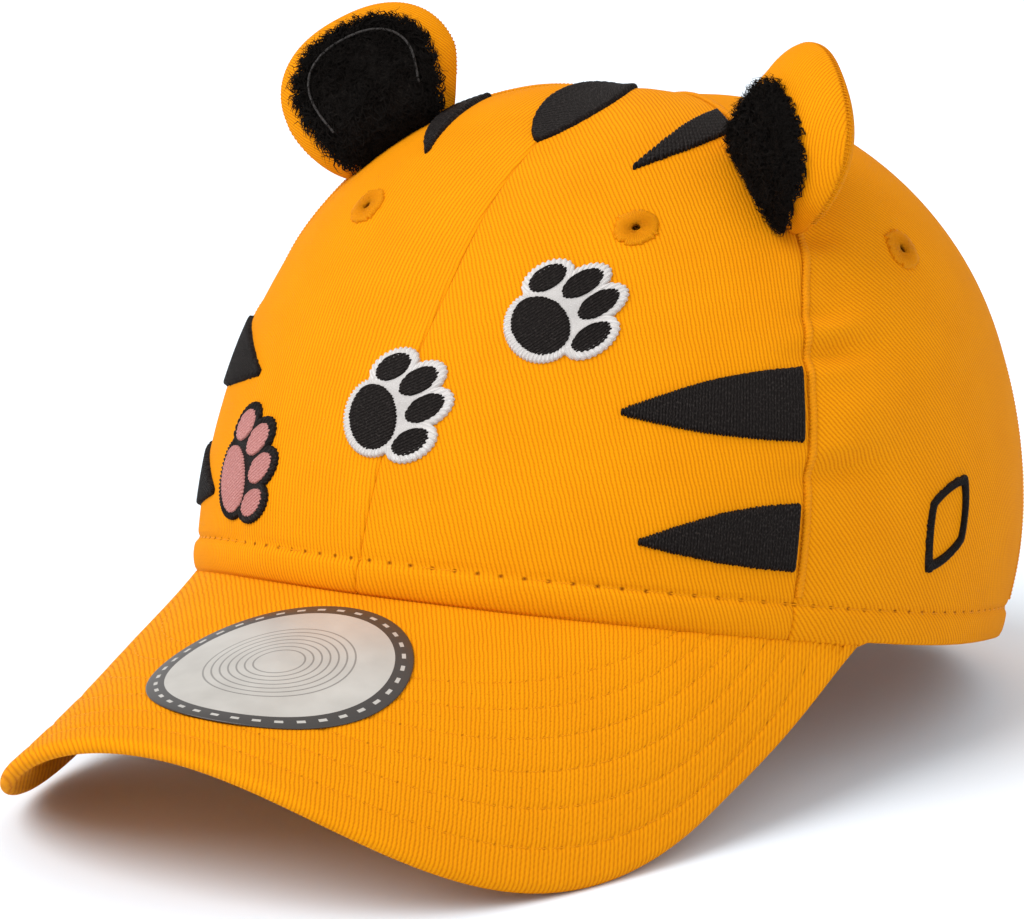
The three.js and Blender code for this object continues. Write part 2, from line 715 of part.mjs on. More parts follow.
// Outline of the ear, or of the fur when shrunk by a border, as points of its plane
function earOutline(border, steps) {
  const half = EAR_WIDTH / 2 - border;
  const top = EAR_HEIGHT - border - EAR_MIDDLE;
  const foot = EAR_BASE / 2 - border * 0.5;
  const base = LAYER_GAP + border * 0.3;
  const points = [];
  for (const t of range(steps.top)) {
    const angle = Math.PI * t;
    const c = Math.cos(angle);
    points.push({
      a: Math.sign(c) * half * Math.abs(c) ** EAR_ROUNDNESS,
      n: EAR_MIDDLE + top * Math.sin(angle) ** EAR_ROUNDNESS,
    });
  }
  const flank = range(steps.flank).slice(1);
  for (const t of flank) {
    points.push({ a: -lerp(half, foot, t ** 1.5), n: lerp(EAR_MIDDLE, base, t) });
  }
  for (const t of range(steps.base).slice(1, -1)) {
    points.push({ a: lerp(-foot, foot, t), n: base });
  }
  for (const t of [...flank].reverse()) {
    points.push({ a: lerp(half, foot, t ** 1.5), n: lerp(EAR_MIDDLE, base, t) });
  }
  return points;
}

// How far out from the ear's middle a place lies, as a share of the way to the outline
function earShare(outline, a, n) {
  const dn = n - EAR_MIDDLE;
  const length = Math.hypot(a, dn);
  if (length < 1e-6) return 0;
  let reach = Infinity;
  outline.forEach((p, i) => {
    const q = outline[(i + 1) % outline.length];
    const ex = q.a - p.a;
    const ey = q.n - p.n;
    const cross = a * ey - dn * ex;
    if (Math.abs(cross) < 1e-9) return;
    const k = (p.a * ey - (p.n - EAR_MIDDLE) * ex) / cross;
    const t = (p.a * dn - (p.n - EAR_MIDDLE) * a) / cross;
    if (k > 0 && t >= -1e-9 && t <= 1 + 1e-9) reach = Math.min(reach, k * length);
  });
  return clamp(length / reach, 0, 1);
}

const bulge = (share) => (1 - share ** 2.4) ** 0.62;
const EAR_STEPS = { top: 14, flank: 3, base: 6 };
const EAR_RINGS = [1, 0.93, 0.78, 0.55, 0.28];

function towardsMiddle(outline, share) {
  return outline.map(({ a, n }) => ({ a: a * share, n: lerp(EAR_MIDDLE, n, share) }));
}

function addEar(row) {
  const place = earFrame(row);
  const outline = earOutline(0, EAR_STEPS);
  const face = (depth) =>
    EAR_RINGS.map((share) => {
      const ring = towardsMiddle(outline, share).map(({ a, n }) => place(a, n, depth * bulge(share)));
      return row.side > 0 ? ring.reverse() : ring;
    });
  const front = face(EAR_FRONT_BULGE);
  const back = face(-EAR_BACK_BULGE);
  const middles = [EAR_FRONT_BULGE, -EAR_BACK_BULGE].map((depth) => place(0, EAR_MIDDLE, depth));
  piece(`ear_${row.word}`, padBody(front, back, middles[0], middles[1], true), CLOTH);
}

// The fur patch fills the ear's front in locks, ragged at the edge and tufted on top
const FUR_RINGS = [
  { share: 1, rise: 0.45 },
  { share: 0.86, rise: 1 },
  { share: 0.6, rise: 0.82 },
  { share: 0.3, rise: 1.05 },
];

function addFur(row) {
  const place = earFrame(row);
  const ear = earOutline(0, EAR_STEPS);
  const steps = { top: FUR_LOCKS, flank: FUR_LOCKS / 6, base: FUR_LOCKS / 3 };
  const outline = earOutline(FUR_BORDER, steps);
  const faces = { outer: [], inner: [] };
  FUR_RINGS.forEach(({ share, rise }, j) => {
    const ring = towardsMiddle(outline, share).map(({ a, n }, i) => {
      const ragged = j === 0 && n > EAR_MIDDLE / 2 ? FUR_LOCK * (i % 2 ? -0.5 : 0.5) : 0;
      const length = Math.hypot(a, n - EAR_MIDDLE);
      const ra = a * (1 + ragged / length);
      const rn = EAR_MIDDLE + (n - EAR_MIDDLE) * (1 + ragged / length);
      const seat = EAR_FRONT_BULGE * bulge(earShare(ear, ra, rn)) + FUR_SEAT;
      const tuft = FUR_DEPTH * rise * (1 + 0.16 * Math.sin(2.4 * i + 1.9 * j));
      return { top: place(ra, rn, seat + tuft), seat: place(ra, rn, seat) };
    });
    if (row.side > 0) ring.reverse();
    faces.outer.push(ring.map((p) => p.top));
    faces.inner.push(ring.map((p) => p.seat));
  });
  const seat = EAR_FRONT_BULGE + FUR_SEAT;
  const middles = [seat + FUR_DEPTH, seat].map((depth) => place(0, EAR_MIDDLE, depth));
  piece(`ear_fur_${row.word}`, padBody(faces.outer, faces.inner, middles[0], middles[1]), FUR);
}

// Sweatband: a thin band inside the hem that stops short of the strap's sewn ends
const BAND_END = BACK_SEAM - OPENING_HALF_TURN - STRAP_TUCK;
const BAND_OUT = -(CLOTH_WALL + LINING_GAP);

function addSweatband() {
  const columns = range(38).map((t) => lerp(-BAND_END, BAND_END, t) * (1 - 1 / BAND_END));
  const layer = (out) =>
    columns.map((turn) => {
      const foot = upAt(turn, LAYER_GAP);
      const head = upAt(turn, BAND_WIDTH);
      return range(2).map((t) => crown(turn, lerp(foot, head, t), out));
    });
  piece('sweatband', sheetBody(layer(BAND_OUT), layer(BAND_OUT - BAND_THICKNESS)), LINING);
}

// Adjustable strap in two lapped ends, each sewn inside its back panel
function strapSheet(turns, outAt) {
  const layer = (extra) =>
    turns.map((turn) => {
      const head = upAt(turn, STRAP_WIDTH);
      return range(2).map((t) => crown(turn, head * t, outAt(turn) - extra));
    });
  return sheetBody(layer(0), layer(STRAP_THICKNESS));
}

function addStraps() {
  const sewn = BAND_END;
  const under = range(12).map((t) => lerp(sewn, BACK_SEAM + STRAP_LAP, t));
  piece('strap_left', strapSheet(under, () => BAND_OUT), CLOTH);
  const lifted = BAND_OUT + STRAP_THICKNESS + LAYER_GAP;
  const over = range(14).map((t) => lerp(BACK_SEAM - STRAP_LAP, 2 * BACK_SEAM - sewn, t));
  const lift = (turn) => {
    const open = BACK_SEAM + OPENING_HALF_TURN;
    const share = 1 - smoothstep(turn, BACK_SEAM + STRAP_LAP + 1, open - 2);
    return lerp(BAND_OUT, lifted, share);
  };
  piece('strap_right', strapSheet(over, lift), CLOTH);
}

// Binding tape round the arch of the back opening
function addBinding() {
  const foot = Math.asin(upAt(BACK_SEAM, STRAP_WIDTH) / OPENING_UP);
  const columns = range(24).map((t) => {
    const angle = lerp(foot, Math.PI - foot, t);
    return [BINDING_SETBACK, BINDING_SETBACK + BINDING_WIDTH].map((away) => {
      const wide = away / perTurn(BACK_SEAM, OPENING_UP / 2);
      const tall = away / perUp(BACK_SEAM, OPENING_UP);
      const turn = BACK_SEAM - (OPENING_HALF_TURN + wide) * Math.cos(angle);
      return { turn, up: (OPENING_UP + tall) * Math.sin(angle) };
    });
  });
  const layer = (out) => columns.map((column) => column.map(({ turn, up }) => crown(turn, up, out)));
  const tape = sheetBody(layer(LAYER_GAP + TRIM_THICKNESS), layer(LAYER_GAP));
  piece('opening_binding', tape, CLOTH);
}

addPanels();
addVisor();
addSweatband();
addStraps();
addBinding();
for (const row of EARS) {
  addEar(row);
  addFur(row);
}
addEyelets();
addStripes();
addPaws();
addLeaf();
addSticker();

// Lean the cap back until the visor's lobes and the hem at the back stand level
function lowest(meshes, lean) {
  let least = Infinity;
  for (const mesh of meshes) {
    const at = mesh.geometry.attributes.position;
    for (let i = 0; i < at.count; i += 1) {
      least = Math.min(least, at.getZ(i) * Math.cos(lean) - at.getY(i) * Math.sin(lean));
    }
  }
  return least;
}

function restingLean() {
  const visor = cap.children.filter((mesh) => mesh.name === 'visor');
  const rest = cap.children.filter((mesh) => mesh.name !== 'visor');
  let low = 0;
  let high = Math.PI / 4;
  for (let step = 0; step < 50; step += 1) {
    const mid = (low + high) / 2;
    if (lowest(visor, mid) < lowest(rest, mid)) low = mid;
    else high = mid;
  }
  return low;
}

cap.rotation.x = -restingLean();
const part = new THREE.Group();
part.add(cap);
part.updateMatrixWorld(true);
const box = new THREE.Box3().setFromObject(part, true);
const middle = box.getCenter(new THREE.Vector3());
part.position.set(-middle.x, -middle.y, -box.min.z);
part.updateMatrixWorld(true);

export default part;
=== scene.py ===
"""A child's amber baseball cap with two stuffed ears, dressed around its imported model."""
import math

import bpy
import numpy as np
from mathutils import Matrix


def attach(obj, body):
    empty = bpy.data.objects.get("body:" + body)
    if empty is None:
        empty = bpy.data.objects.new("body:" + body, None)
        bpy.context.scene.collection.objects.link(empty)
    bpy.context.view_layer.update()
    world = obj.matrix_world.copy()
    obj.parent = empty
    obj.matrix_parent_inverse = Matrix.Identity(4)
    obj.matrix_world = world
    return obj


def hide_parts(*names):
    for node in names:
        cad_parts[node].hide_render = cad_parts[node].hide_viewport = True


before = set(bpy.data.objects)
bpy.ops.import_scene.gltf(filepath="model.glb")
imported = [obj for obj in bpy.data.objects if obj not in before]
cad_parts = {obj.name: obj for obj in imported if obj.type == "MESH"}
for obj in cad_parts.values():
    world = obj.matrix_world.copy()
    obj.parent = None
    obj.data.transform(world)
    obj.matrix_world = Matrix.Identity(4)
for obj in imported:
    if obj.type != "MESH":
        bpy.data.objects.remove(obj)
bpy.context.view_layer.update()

# Camera, floor and lights
# The cap stands on a plain white table in an even, soft studio light, seen from in front
# and a little to the wearer's left.
MM = 0.001
CAMERA_PLACE = (453.73 * MM, -722.70 * MM, 234.69 * MM)
CAMERA_TURN = (78.080, 0.554, 32.128)
CAMERA_LENS = 164.59
FLOOR_SIZE = 30
FLOOR_WHITE = (0.8, 0.87, 0.94, 1)
SKY_LIGHT = 0.78

bpy.ops.object.camera_add(
    location=CAMERA_PLACE, rotation=[math.radians(angle) for angle in CAMERA_TURN]
)
bpy.context.object.data.lens = CAMERA_LENS
bpy.context.scene.camera = bpy.context.object
bpy.context.scene.view_settings.view_transform = "Standard"

LIGHTS = [
    {"name": "key", "turn": (42, 0, -28), "strength": 2.6, "spread": 50},
    {"name": "fill", "turn": (58, 0, 75), "strength": 0.6, "spread": 80},
]
for row in LIGHTS:
    turn = [math.radians(angle) for angle in row["turn"]]
    bpy.ops.object.light_add(type="SUN", location=(0, 0, 1), rotation=turn)
    sun = bpy.context.object
    sun.name = row["name"]
    sun.data.energy = row["strength"]
    sun.data.angle = math.radians(row["spread"])


def add_node(tree, kind, settings=None, inputs=None):
    """A node with its settings, and with each input set or linked."""
    new = tree.nodes.new(kind)
    for key, value in (settings or {}).items():
        setattr(new, key, value)
    for key, value in (inputs or {}).items():
        if isinstance(value, bpy.types.NodeSocket):
            tree.links.new(value, new.inputs[key])
        else:
            new.inputs[key].default_value = value
    return new


def sum_node(tree, operation, first, second=0.0, third=0.0):
    """The result of one Math node over numbers or sockets."""
    values = {0: first, 1: second, 2: third}
    return add_node(tree, "ShaderNodeMath", {"operation": operation}, values).outputs[0]


def blank_material(name):
    """A material with only its output, and that output's surface socket."""
    finish = bpy.data.materials.new(name)
    finish.use_nodes = True
    finish.node_tree.nodes.clear()
    ending = finish.node_tree.nodes.new("ShaderNodeOutputMaterial")
    return finish, finish.node_tree, ending.inputs["Surface"]


world = bpy.data.worlds.new("studio")
bpy.context.scene.world = world
world.use_nodes = True
sky = world.node_tree.nodes["Background"]
sky.inputs["Color"].default_value = (1, 1, 1, 1)
sky.inputs["Strength"].default_value = SKY_LIGHT

bpy.ops.mesh.primitive_plane_add(size=FLOOR_SIZE)
floor = bpy.context.object
floor.name = "floor"
table_top, tree, surface = blank_material("white table")
paint = add_node(
    tree, "ShaderNodeBsdfPrincipled", None, {"Base Color": FLOOR_WHITE, "Roughness": 0.7}
)
tree.links.new(paint.outputs[0], surface)
floor.data.materials.append(table_top)

# The crown's form
# The block that the crown is sewn over: half a rounded egg, longer than it is wide, whose
# places are given by a turn round from the middle of the front and a share up to the apex.
CROWN_WIDTH = 149.2 * MM
CROWN_LENGTH = 175.8 * MM
CROWN_HEIGHT = 98.7 * MM
CROWN_BULGE = 0.058
APEX_FORWARD = 7.6 * MM
HEM_DROP = 2.2 * MM
APEX_DIMPLE = 1.4 * MM
HEM_TUCK = 1.3 * MM
PUFF_DEPTH = 2.4 * MM
DENT_DEPTH = 1.6 * MM
SIDE_SEAM = 59.4
REAR_SEAM = 120
BACK_SEAM = 180
EAR_PULL = 2
PROFILE = {
    "front": {"rim": 1.008, "rise": 1.422},
    "side": {"rim": 0.76, "rise": 0.849},
    "back": {"rim": 0.911, "rise": 1.31},
}
PANELS = [
    {"name": "front_panel_left", "from": 0, "to": SIDE_SEAM, "puff": 0.25, "lean": -20},
    {"name": "side_panel_left", "from": SIDE_SEAM, "to": REAR_SEAM, "puff": 0.5, "lean": -45},
    {"name": "back_panel_left", "from": REAR_SEAM, "to": BACK_SEAM, "puff": 1, "lean": -30},
    {"name": "back_panel_right", "from": -BACK_SEAM, "to": -REAR_SEAM, "puff": 1, "lean": 30},
    {"name": "side_panel_right", "from": -REAR_SEAM, "to": -SIDE_SEAM, "puff": 0.5, "lean": 45},
    {"name": "front_panel_right", "from": -SIDE_SEAM, "to": 0, "puff": 0.25, "lean": -16},
]
# Shallow dents first, as shares of DENT_DEPTH, then the finer folds by the side seams
DENTS = [
    {"turn": -3, "up": 0.46, "spread": 8, "tall": 0.1, "depth": 0.7},
    {"turn": 25, "up": 0.27, "spread": 11, "tall": 0.07, "depth": 0.55},
    {"turn": 12, "up": 0.58, "spread": 12, "tall": 0.06, "depth": -0.45},
    {"turn": -24, "up": 0.52, "spread": 10, "tall": 0.06, "depth": 0.45},
    {"turn": 66, "up": 0.43, "spread": 7, "tall": 0.035, "depth": 0.9},
    {"turn": 68, "up": 0.34, "spread": 9, "tall": 0.035, "depth": 0.8},
    {"turn": 67, "up": 0.25, "spread": 8, "tall": 0.035, "depth": -0.6},
    {"turn": 70, "up": 0.17, "spread": 9, "tall": 0.04, "depth": 0.7},
    {"turn": -68, "up": 0.38, "spread": 9, "tall": 0.045, "depth": 0.8},
    {"turn": -67, "up": 0.22, "spread": 8, "tall": 0.045, "depth": 0.6},
    {"turn": 100, "up": 0.3, "spread": 14, "tall": 0.1, "depth": 0.8},
    {"turn": -98, "up": 0.34, "spread": 14, "tall": 0.1, "depth": 0.7},
    {"turn": 140, "up": 0.62, "spread": 10, "tall": 0.08, "depth": 0.7},
    {"turn": -143, "up": 0.58, "spread": 10, "tall": 0.08, "depth": 0.8},
]
# Sharper creases behind the left side seam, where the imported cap's side is pushed in
FOLDS = [
    {"turn": 63.5, "up": 0.395, "spread": 5.0, "tall": 0.014, "depth": 0.67},
    {"turn": 64.5, "up": 0.367, "spread": 5.5, "tall": 0.012, "depth": -0.4},
    {"turn": 64.0, "up": 0.34, "spread": 5.5, "tall": 0.013, "depth": 0.72},
    {"turn": 63.5, "up": 0.313, "spread": 5.0, "tall": 0.014, "depth": -0.4},
    {"turn": 64.5, "up": 0.215, "spread": 6.0, "tall": 0.014, "depth": -0.48},
    {"turn": 64.5, "up": 0.188, "spread": 6.5, "tall": 0.013, "depth": 0.8},
    {"turn": 64.0, "up": 0.51, "spread": 4.0, "tall": 0.02, "depth": 0.64},
    {"turn": -65.0, "up": 0.36, "spread": 6.0, "tall": 0.015, "depth": 0.64},
    {"turn": -65.0, "up": 0.21, "spread": 6.0, "tall": 0.015, "depth": 0.64},
]
HEM_ROWS = [
    {"turn": 0, "spread": 70, "drop": 0.64},
    {"turn": -60, "spread": 24, "drop": 0.95},
    {"turn": 118, "spread": 24, "drop": -0.8},
    {"turn": -118, "spread": 24, "drop": -0.8},
    {"turn": 180, "spread": 50, "drop": 0.8},
]
# How the cap stands: leaned back on its visor's lobes and the hem at its back
CAP_LEAN = math.radians(13.6215)
CAP_SHIFT = np.array([-0.635, 31.292, 21.077]) * MM


def smoothstep(value, low, high):
    """0 below low, 1 above high and a smooth rise between them."""
    share = np.clip((value - low) / (high - low), 0, 1)
    return share * share * (3 - 2 * share)


def wrapped(turn):
    """The same turn between -180 and 180 degrees."""
    return (np.asarray(turn, float) + 180) % 360 - 180


def stand(places):
    """From the cap laid out on its hem to the cap as it stands."""
    x, y, z = np.moveaxis(np.asarray(places), -1, 0)
    lean_y = y * math.cos(CAP_LEAN) + z * math.sin(CAP_LEAN)
    lean_z = z * math.cos(CAP_LEAN) - y * math.sin(CAP_LEAN)
    return np.stack([x, lean_y, lean_z], -1) + CAP_SHIFT


def hem_height(turn):
    """The hem dips and rises a little round the cap."""
    height = 0
    for row in HEM_ROWS:
        away = np.abs(wrapped(turn - row["turn"]))
        height = height - row["drop"] * HEM_DROP * np.exp(-((away / row["spread"]) ** 2))
    return height


def smooth_crown(turn, up):
    """Places on the crown before its dents and puffs, laid out on its hem."""
    angle = np.radians(turn)
    c = np.cos(angle)
    front, side, back = PROFILE["front"], PROFILE["side"], PROFILE["back"]
    rim = side["rim"] + (np.where(c > 0, front["rim"], back["rim"]) - side["rim"]) * c * c
    rise = side["rise"] + (np.where(c > 0, front["rise"], back["rise"]) - side["rise"]) * c * c
    psi = np.clip(up, 0, 1) * math.pi / 2
    reach = np.maximum(np.cos(psi), 0) ** rim * (1 + CROWN_BULGE * np.sin(2 * psi))
    lift = np.sin(psi) ** rise
    x = CROWN_WIDTH / 2 * reach * np.sin(angle)
    y = -CROWN_LENGTH / 2 * reach * c - APEX_FORWARD * (1 - reach)
    z = hem_height(turn) * (1 - lift) + CROWN_HEIGHT * lift
    return np.stack([x, y, z], -1)


def unit(vectors):
    return vectors / np.maximum(np.linalg.norm(vectors, axis=-1, keepdims=True), 1e-12)


def outward(shape, turn, up):
    """Normals of a shape given by turn and up, from steps to either side."""
    at = np.minimum(up, 0.985)
    across = shape(turn + 1, at) - shape(turn - 1, at)
    along = shape(turn, at + 0.004) - shape(turn, np.maximum(at - 0.004, 0))
    return unit(np.cross(across, along))


def dent_depth(turn, up):
    """How far the cloth lies inside the smooth crown; the panels puff outwards."""
    depth = APEX_DIMPLE * np.exp(-(((1 - up) / 0.07) ** 2))
    depth = depth + HEM_TUCK * np.exp(-((up / 0.08) ** 2)) * smoothstep(np.abs(turn), 80, 110)
    for row in DENTS + FOLDS:
        far = ((turn - row["turn"]) / row["spread"]) ** 2 + ((up - row["up"]) / row["tall"]) ** 2
        depth = depth + row["depth"] * DENT_DEPTH * np.exp(-far)
    height = smoothstep(up, 0.25, 0.75) * (1 - smoothstep(up, 0.85, 1))
    for panel in PANELS:
        share = np.clip((turn - panel["from"]) / (panel["to"] - panel["from"]), 0, 1)
        depth = depth - panel["puff"] * PUFF_DEPTH * np.sin(math.pi * share) ** 2 * height
    return depth


def dented_crown(turn, up):
    turn, up = np.broadcast_arrays(np.asarray(turn, float), np.asarray(up, float))
    depth = dent_depth(wrapped(turn), up)[..., None]
    return smooth_crown(turn, up) - outward(smooth_crown, turn, up) * depth


def crown(turn, up, out=0.0):
    """Places `out` metres outside the crown's face, as the cap stands."""
    turn, up, out = np.broadcast_arrays(*(np.asarray(v, float) for v in (turn, up, out)))
    normal = outward(dented_crown, turn, up)
    return stand(dented_crown(turn, up) + normal * out[..., None])


def crown_normal(turn, up):
    turn, up = np.broadcast_arrays(np.asarray(turn, float), np.asarray(up, float))
    return stand(outward(dented_crown, turn, up)) - CAP_SHIFT


def per_turn(turn, up):
    """Metres for one degree round the crown."""
    return np.linalg.norm(smooth_crown(turn + 1, up) - smooth_crown(turn - 1, up), axis=-1) / 2


def per_up(turn, up):
    """Metres for a whole unit of up."""
    d = 0.01
    low = np.maximum(up - d, 0)
    step = np.linalg.norm(smooth_crown(turn, up + d) - smooth_crown(turn, low), axis=-1)
    return step / (up + d - low)


UP_TABLE = np.linspace(0, 1, 401)


def up_at(turn, length):
    """The share up the crown that lies a length above the hem, for arrays of both."""
    turn, length = np.broadcast_arrays(np.asarray(turn, float), np.asarray(length, float))
    flat_turn = turn.ravel()
    line = smooth_crown(flat_turn[:, None], UP_TABLE[None, :])
    gone = np.cumsum(np.linalg.norm(np.diff(line, axis=1), axis=-1), axis=1)
    gone = np.concatenate([np.zeros((len(flat_turn), 1)), gone], axis=1)
    found = [np.interp(l, g, UP_TABLE) for l, g in zip(length.ravel(), gone)]
    return np.array(found).reshape(turn.shape)


def side_seam(up):
    """The side seam bows back where the ear pulls on it."""
    return SIDE_SEAM + EAR_PULL * np.exp(-(((up - 0.51) / 0.09) ** 2))


def seam_turn(turn, up):
    return math.copysign(1, turn) * side_seam(up) if abs(turn) == SIDE_SEAM else turn + 0 * up


# Crown panels
# Six pieces of amber cotton twill, sewn edge to edge. Each is folded over at the hem and
# its edges turn in at the seams, and the two rear ones leave a half-moon opening.
CLOTH_WALL = 1.7 * MM
PANEL_COLUMNS = 92
SEAM_CREASE = 0.34 * MM
SEAM_ROUND = 0.9 * MM
HEM_BAND = 6.0 * MM
HEM_CREASE = 0.42 * MM
HEM_PUFF = 0.38 * MM
HEM_SEAT = 0.95 * MM
VISOR_CORNER = 70.5
STITCH_PITCH = 4.1 * MM
OPENING_HALF_TURN = 27
OPENING_HEIGHT = 47 * MM
EYELET_RADIUS = 4.1 * MM
EYELET_HOLE = 1.1 * MM
EYELETS = [
    {"name": "eyelet_front", "turn": 33, "up": 0.543},
    {"name": "eyelet_side", "turn": 81, "up": 0.484},
    {"name": "eyelet_back", "turn": 147, "up": 0.53},
]
# The twill's two colours: the darker is painted shade in the rib valleys, the lighter the rib tops;
# noise adds tone that differs at random.
AMBER_LIGHT = (0.76, 0.283, 0.0014, 1)
AMBER_DARK = (0.56, 0.165, 0.0008, 1)
# Painted shade inside the needle holes of each stitch row
NEEDLE_HOLE_SHADE = (0.13, 0.018, 0.001, 1)
RIB_PITCH = 0.8


def new_group(name, takes, gives):
    """A shader node group with named inputs and outputs, and its two end nodes."""
    group = bpy.data.node_groups.new(name, "ShaderNodeTree")
    for label, kind in takes.items():
        group.interface.new_socket(label, in_out="INPUT", socket_type=kind)
    for label, kind in gives.items():
        group.interface.new_socket(label, in_out="OUTPUT", socket_type=kind)
    start = group.nodes.new("NodeGroupInput")
    ending = group.nodes.new("NodeGroupOutput")
    return group, start.outputs, ending.inputs


def wave(tree, value, period, phase=0.0):
    """A sine from 0 to 1 over each period of a value."""
    angle = sum_node(tree, "MULTIPLY", value, 2 * math.pi)
    angle = sum_node(tree, "DIVIDE", angle, period)
    sine = sum_node(tree, "SINE", sum_node(tree, "ADD", angle, phase))
    return sum_node(tree, "MULTIPLY_ADD", sine, 0.5, 0.5)


def make_twill():
    """Diagonal ribs of yarn over cloth coordinates in millimetres, with painted shade in the valleys
    between the ribs.
    """
    takes = {"Cloth": "NodeSocketVector", "Lean": "NodeSocketFloat", "Pitch": "NodeSocketFloat"}
    group, given, result = new_group(
        "twill weave", takes, {"Shade": "NodeSocketFloat", "Height": "NodeSocketFloat"}
    )
    wander = add_node(
        group, "ShaderNodeTexNoise", None, {"Vector": given["Cloth"], "Scale": 0.35, "Detail": 3}
    ).outputs["Fac"]
    turned = add_node(
        group,
        "ShaderNodeVectorRotate",
        {"rotation_type": "Z_AXIS"},
        {"Vector": given["Cloth"], "Angle": sum_node(group, "RADIANS", given["Lean"])},
    ).outputs[0]
    place = add_node(group, "ShaderNodeSeparateXYZ", None, {0: turned}).outputs
    across = sum_node(group, "MULTIPLY_ADD", wander, 0.5, place[0])
    ribs = sum_node(group, "POWER", wave(group, across, given["Pitch"]), 0.45)
    slanted = sum_node(group, "MULTIPLY_ADD", place[0], 1.1, place[1])
    yarns = wave(group, slanted, 0.66)
    fuzz = add_node(
        group, "ShaderNodeTexNoise", None, {"Vector": given["Cloth"], "Scale": 2.6, "Detail": 4}
    ).outputs["Fac"]
    patches = add_node(
        group, "ShaderNodeTexNoise", None, {"Vector": given["Cloth"], "Scale": 0.08, "Detail": 2}
    ).outputs["Fac"]
    # Painted shade: the colour darkens in the valleys between the ribs, dotted where the yarns cross;
    # fuzz and patches add tone that differs at random.
    valley = sum_node(group, "SUBTRACT", 1.0, ribs)
    height = sum_node(group, "MULTIPLY_ADD", yarns, 0.08, ribs)
    height = sum_node(group, "MULTIPLY_ADD", fuzz, 0.3, height)
    dotted = sum_node(group, "MULTIPLY_ADD", yarns, -0.4, 1.15)
    shade = sum_node(group, "MULTIPLY", valley, dotted)
    shade = sum_node(group, "MULTIPLY_ADD", fuzz, 0.5, shade)
    shade = sum_node(group, "MULTIPLY_ADD", patches, 0.35, shade)
    shade = sum_node(group, "SUBTRACT", 1.25, shade)
    group.links.new(shade, result["Shade"])
    group.links.new(height, result["Height"])
    return group


def make_needle_holes():
    """A mask of the pits where the needle went in, along a row of stitches, in millimetres, for the
    painted shade and the sunk bump in each hole.
    """
    takes = {
        "Along": "NodeSocketFloat",
        "Away": "NodeSocketFloat",
        "Pitch": "NodeSocketFloat",
        "Radius": "NodeSocketFloat",
    }
    group, given, result = new_group("needle holes", takes, {"Pit": "NodeSocketFloat"})
    step = sum_node(group, "DIVIDE", given["Along"], given["Pitch"])
    near = sum_node(group, "SUBTRACT", sum_node(group, "FRACT", step), 0.5)
    near = sum_node(group, "MULTIPLY", near, given["Pitch"])
    near = sum_node(group, "MULTIPLY", near, 0.75)
    far = sum_node(group, "MULTIPLY", near, near)
    away = sum_node(group, "MULTIPLY", given["Away"], given["Away"])
    distance = sum_node(group, "SQRT", sum_node(group, "ADD", far, away))
    share = sum_node(group, "DIVIDE", distance, given["Radius"])
    pit = sum_node(group, "SUBTRACT", 1.0, sum_node(group, "SMOOTH_MIN", share, 1.0, 0.3))
    group.links.new(sum_node(group, "MAXIMUM", pit, 0.0), result["Pit"])
    return group


twill_weave = make_twill()
needle_holes = make_needle_holes()


def twill_material(name, lean, row=None, pitch=RIB_PITCH):
    """Amber twill over the piece's cloth map, with painted shade in its rib valleys; row adds the
    needle holes of a stitch row, with painted shade in each hole.
    """
    finish, tree, surface = blank_material(name)
    cloth = add_node(tree, "ShaderNodeUVMap", {"uv_map": "cloth"}).outputs[0]
    weave = add_node(
        tree,
        "ShaderNodeGroup",
        {"node_tree": twill_weave},
        {"Cloth": cloth, "Lean": lean, "Pitch": pitch},
    ).outputs
    colour = add_node(
        tree,
        "ShaderNodeMix",
        {"data_type": "RGBA"},
        {0: weave["Shade"], 6: AMBER_DARK, 7: AMBER_LIGHT},
    ).outputs[2]
    height = weave["Height"]
    if row:
        rows = add_node(tree, "ShaderNodeUVMap", {"uv_map": "rows"}).outputs[0]
        place = add_node(tree, "ShaderNodeSeparateXYZ", None, {0: rows}).outputs
        pit = add_node(
            tree,
            "ShaderNodeGroup",
            {"node_tree": needle_holes},
            {"Along": place[0], "Away": place[1], "Pitch": row["pitch"], "Radius": row["radius"]},
        ).outputs["Pit"]
        pit = sum_node(tree, "MULTIPLY", pit, row["depth"])
        # Painted shade: the colour darkens in each needle hole, and the bump sinks it.
        colour = add_node(
            tree, "ShaderNodeMix", {"data_type": "RGBA"}, {0: pit, 6: colour, 7: NEEDLE_HOLE_SHADE}
        ).outputs[2]
        height = sum_node(tree, "MULTIPLY_ADD", pit, -4.0, height)
    bump = add_node(
        tree, "ShaderNodeBump", None, {"Height": height, "Distance": 0.1 * MM, "Strength": 0.8}
    )
    cotton = add_node(
        tree,
        "ShaderNodeBsdfPrincipled",
        None,
        {
            "Base Color": colour,
            "Roughness": 0.9,
            "Specular IOR Level": 0.06,
            "Normal": bump.outputs[0],
        },
    )
    tree.links.new(cotton.outputs[0], surface)
    return finish


def grid_piece(name, columns, rows):
    """A flat grid of columns by rows of points, and each point's column and row number."""
    bpy.ops.object.select_all(action="DESELECT")
    bpy.ops.mesh.primitive_grid_add(
        x_subdivisions=columns - 1, y_subdivisions=rows - 1, size=1, calc_uvs=False
    )
    piece = bpy.context.object
    piece.name = name
    piece.data.name = name
    flat = np.empty(len(piece.data.vertices) * 3)
    piece.data.vertices.foreach_get("co", flat)
    place = flat.reshape(-1, 3)[:, :2] + 0.5
    column = np.rint(place[:, 0] * (columns - 1)).astype(int)
    line = np.rint(place[:, 1] * (rows - 1)).astype(int)
    return piece, column, line


def shape_piece(piece, places):
    piece.data.vertices.foreach_set("co", np.asarray(places, float).reshape(-1))
    piece.data.update()


def lay_map(piece, name, across, along):
    """A UV map from one pair of numbers for each point."""
    layer = piece.data.uv_layers.new(name=name)
    corner = np.empty(len(piece.data.loops), int)
    piece.data.loops.foreach_get("vertex_index", corner)
    layer.data.foreach_set("uv", np.stack([across[corner], along[corner]], -1).reshape(-1))


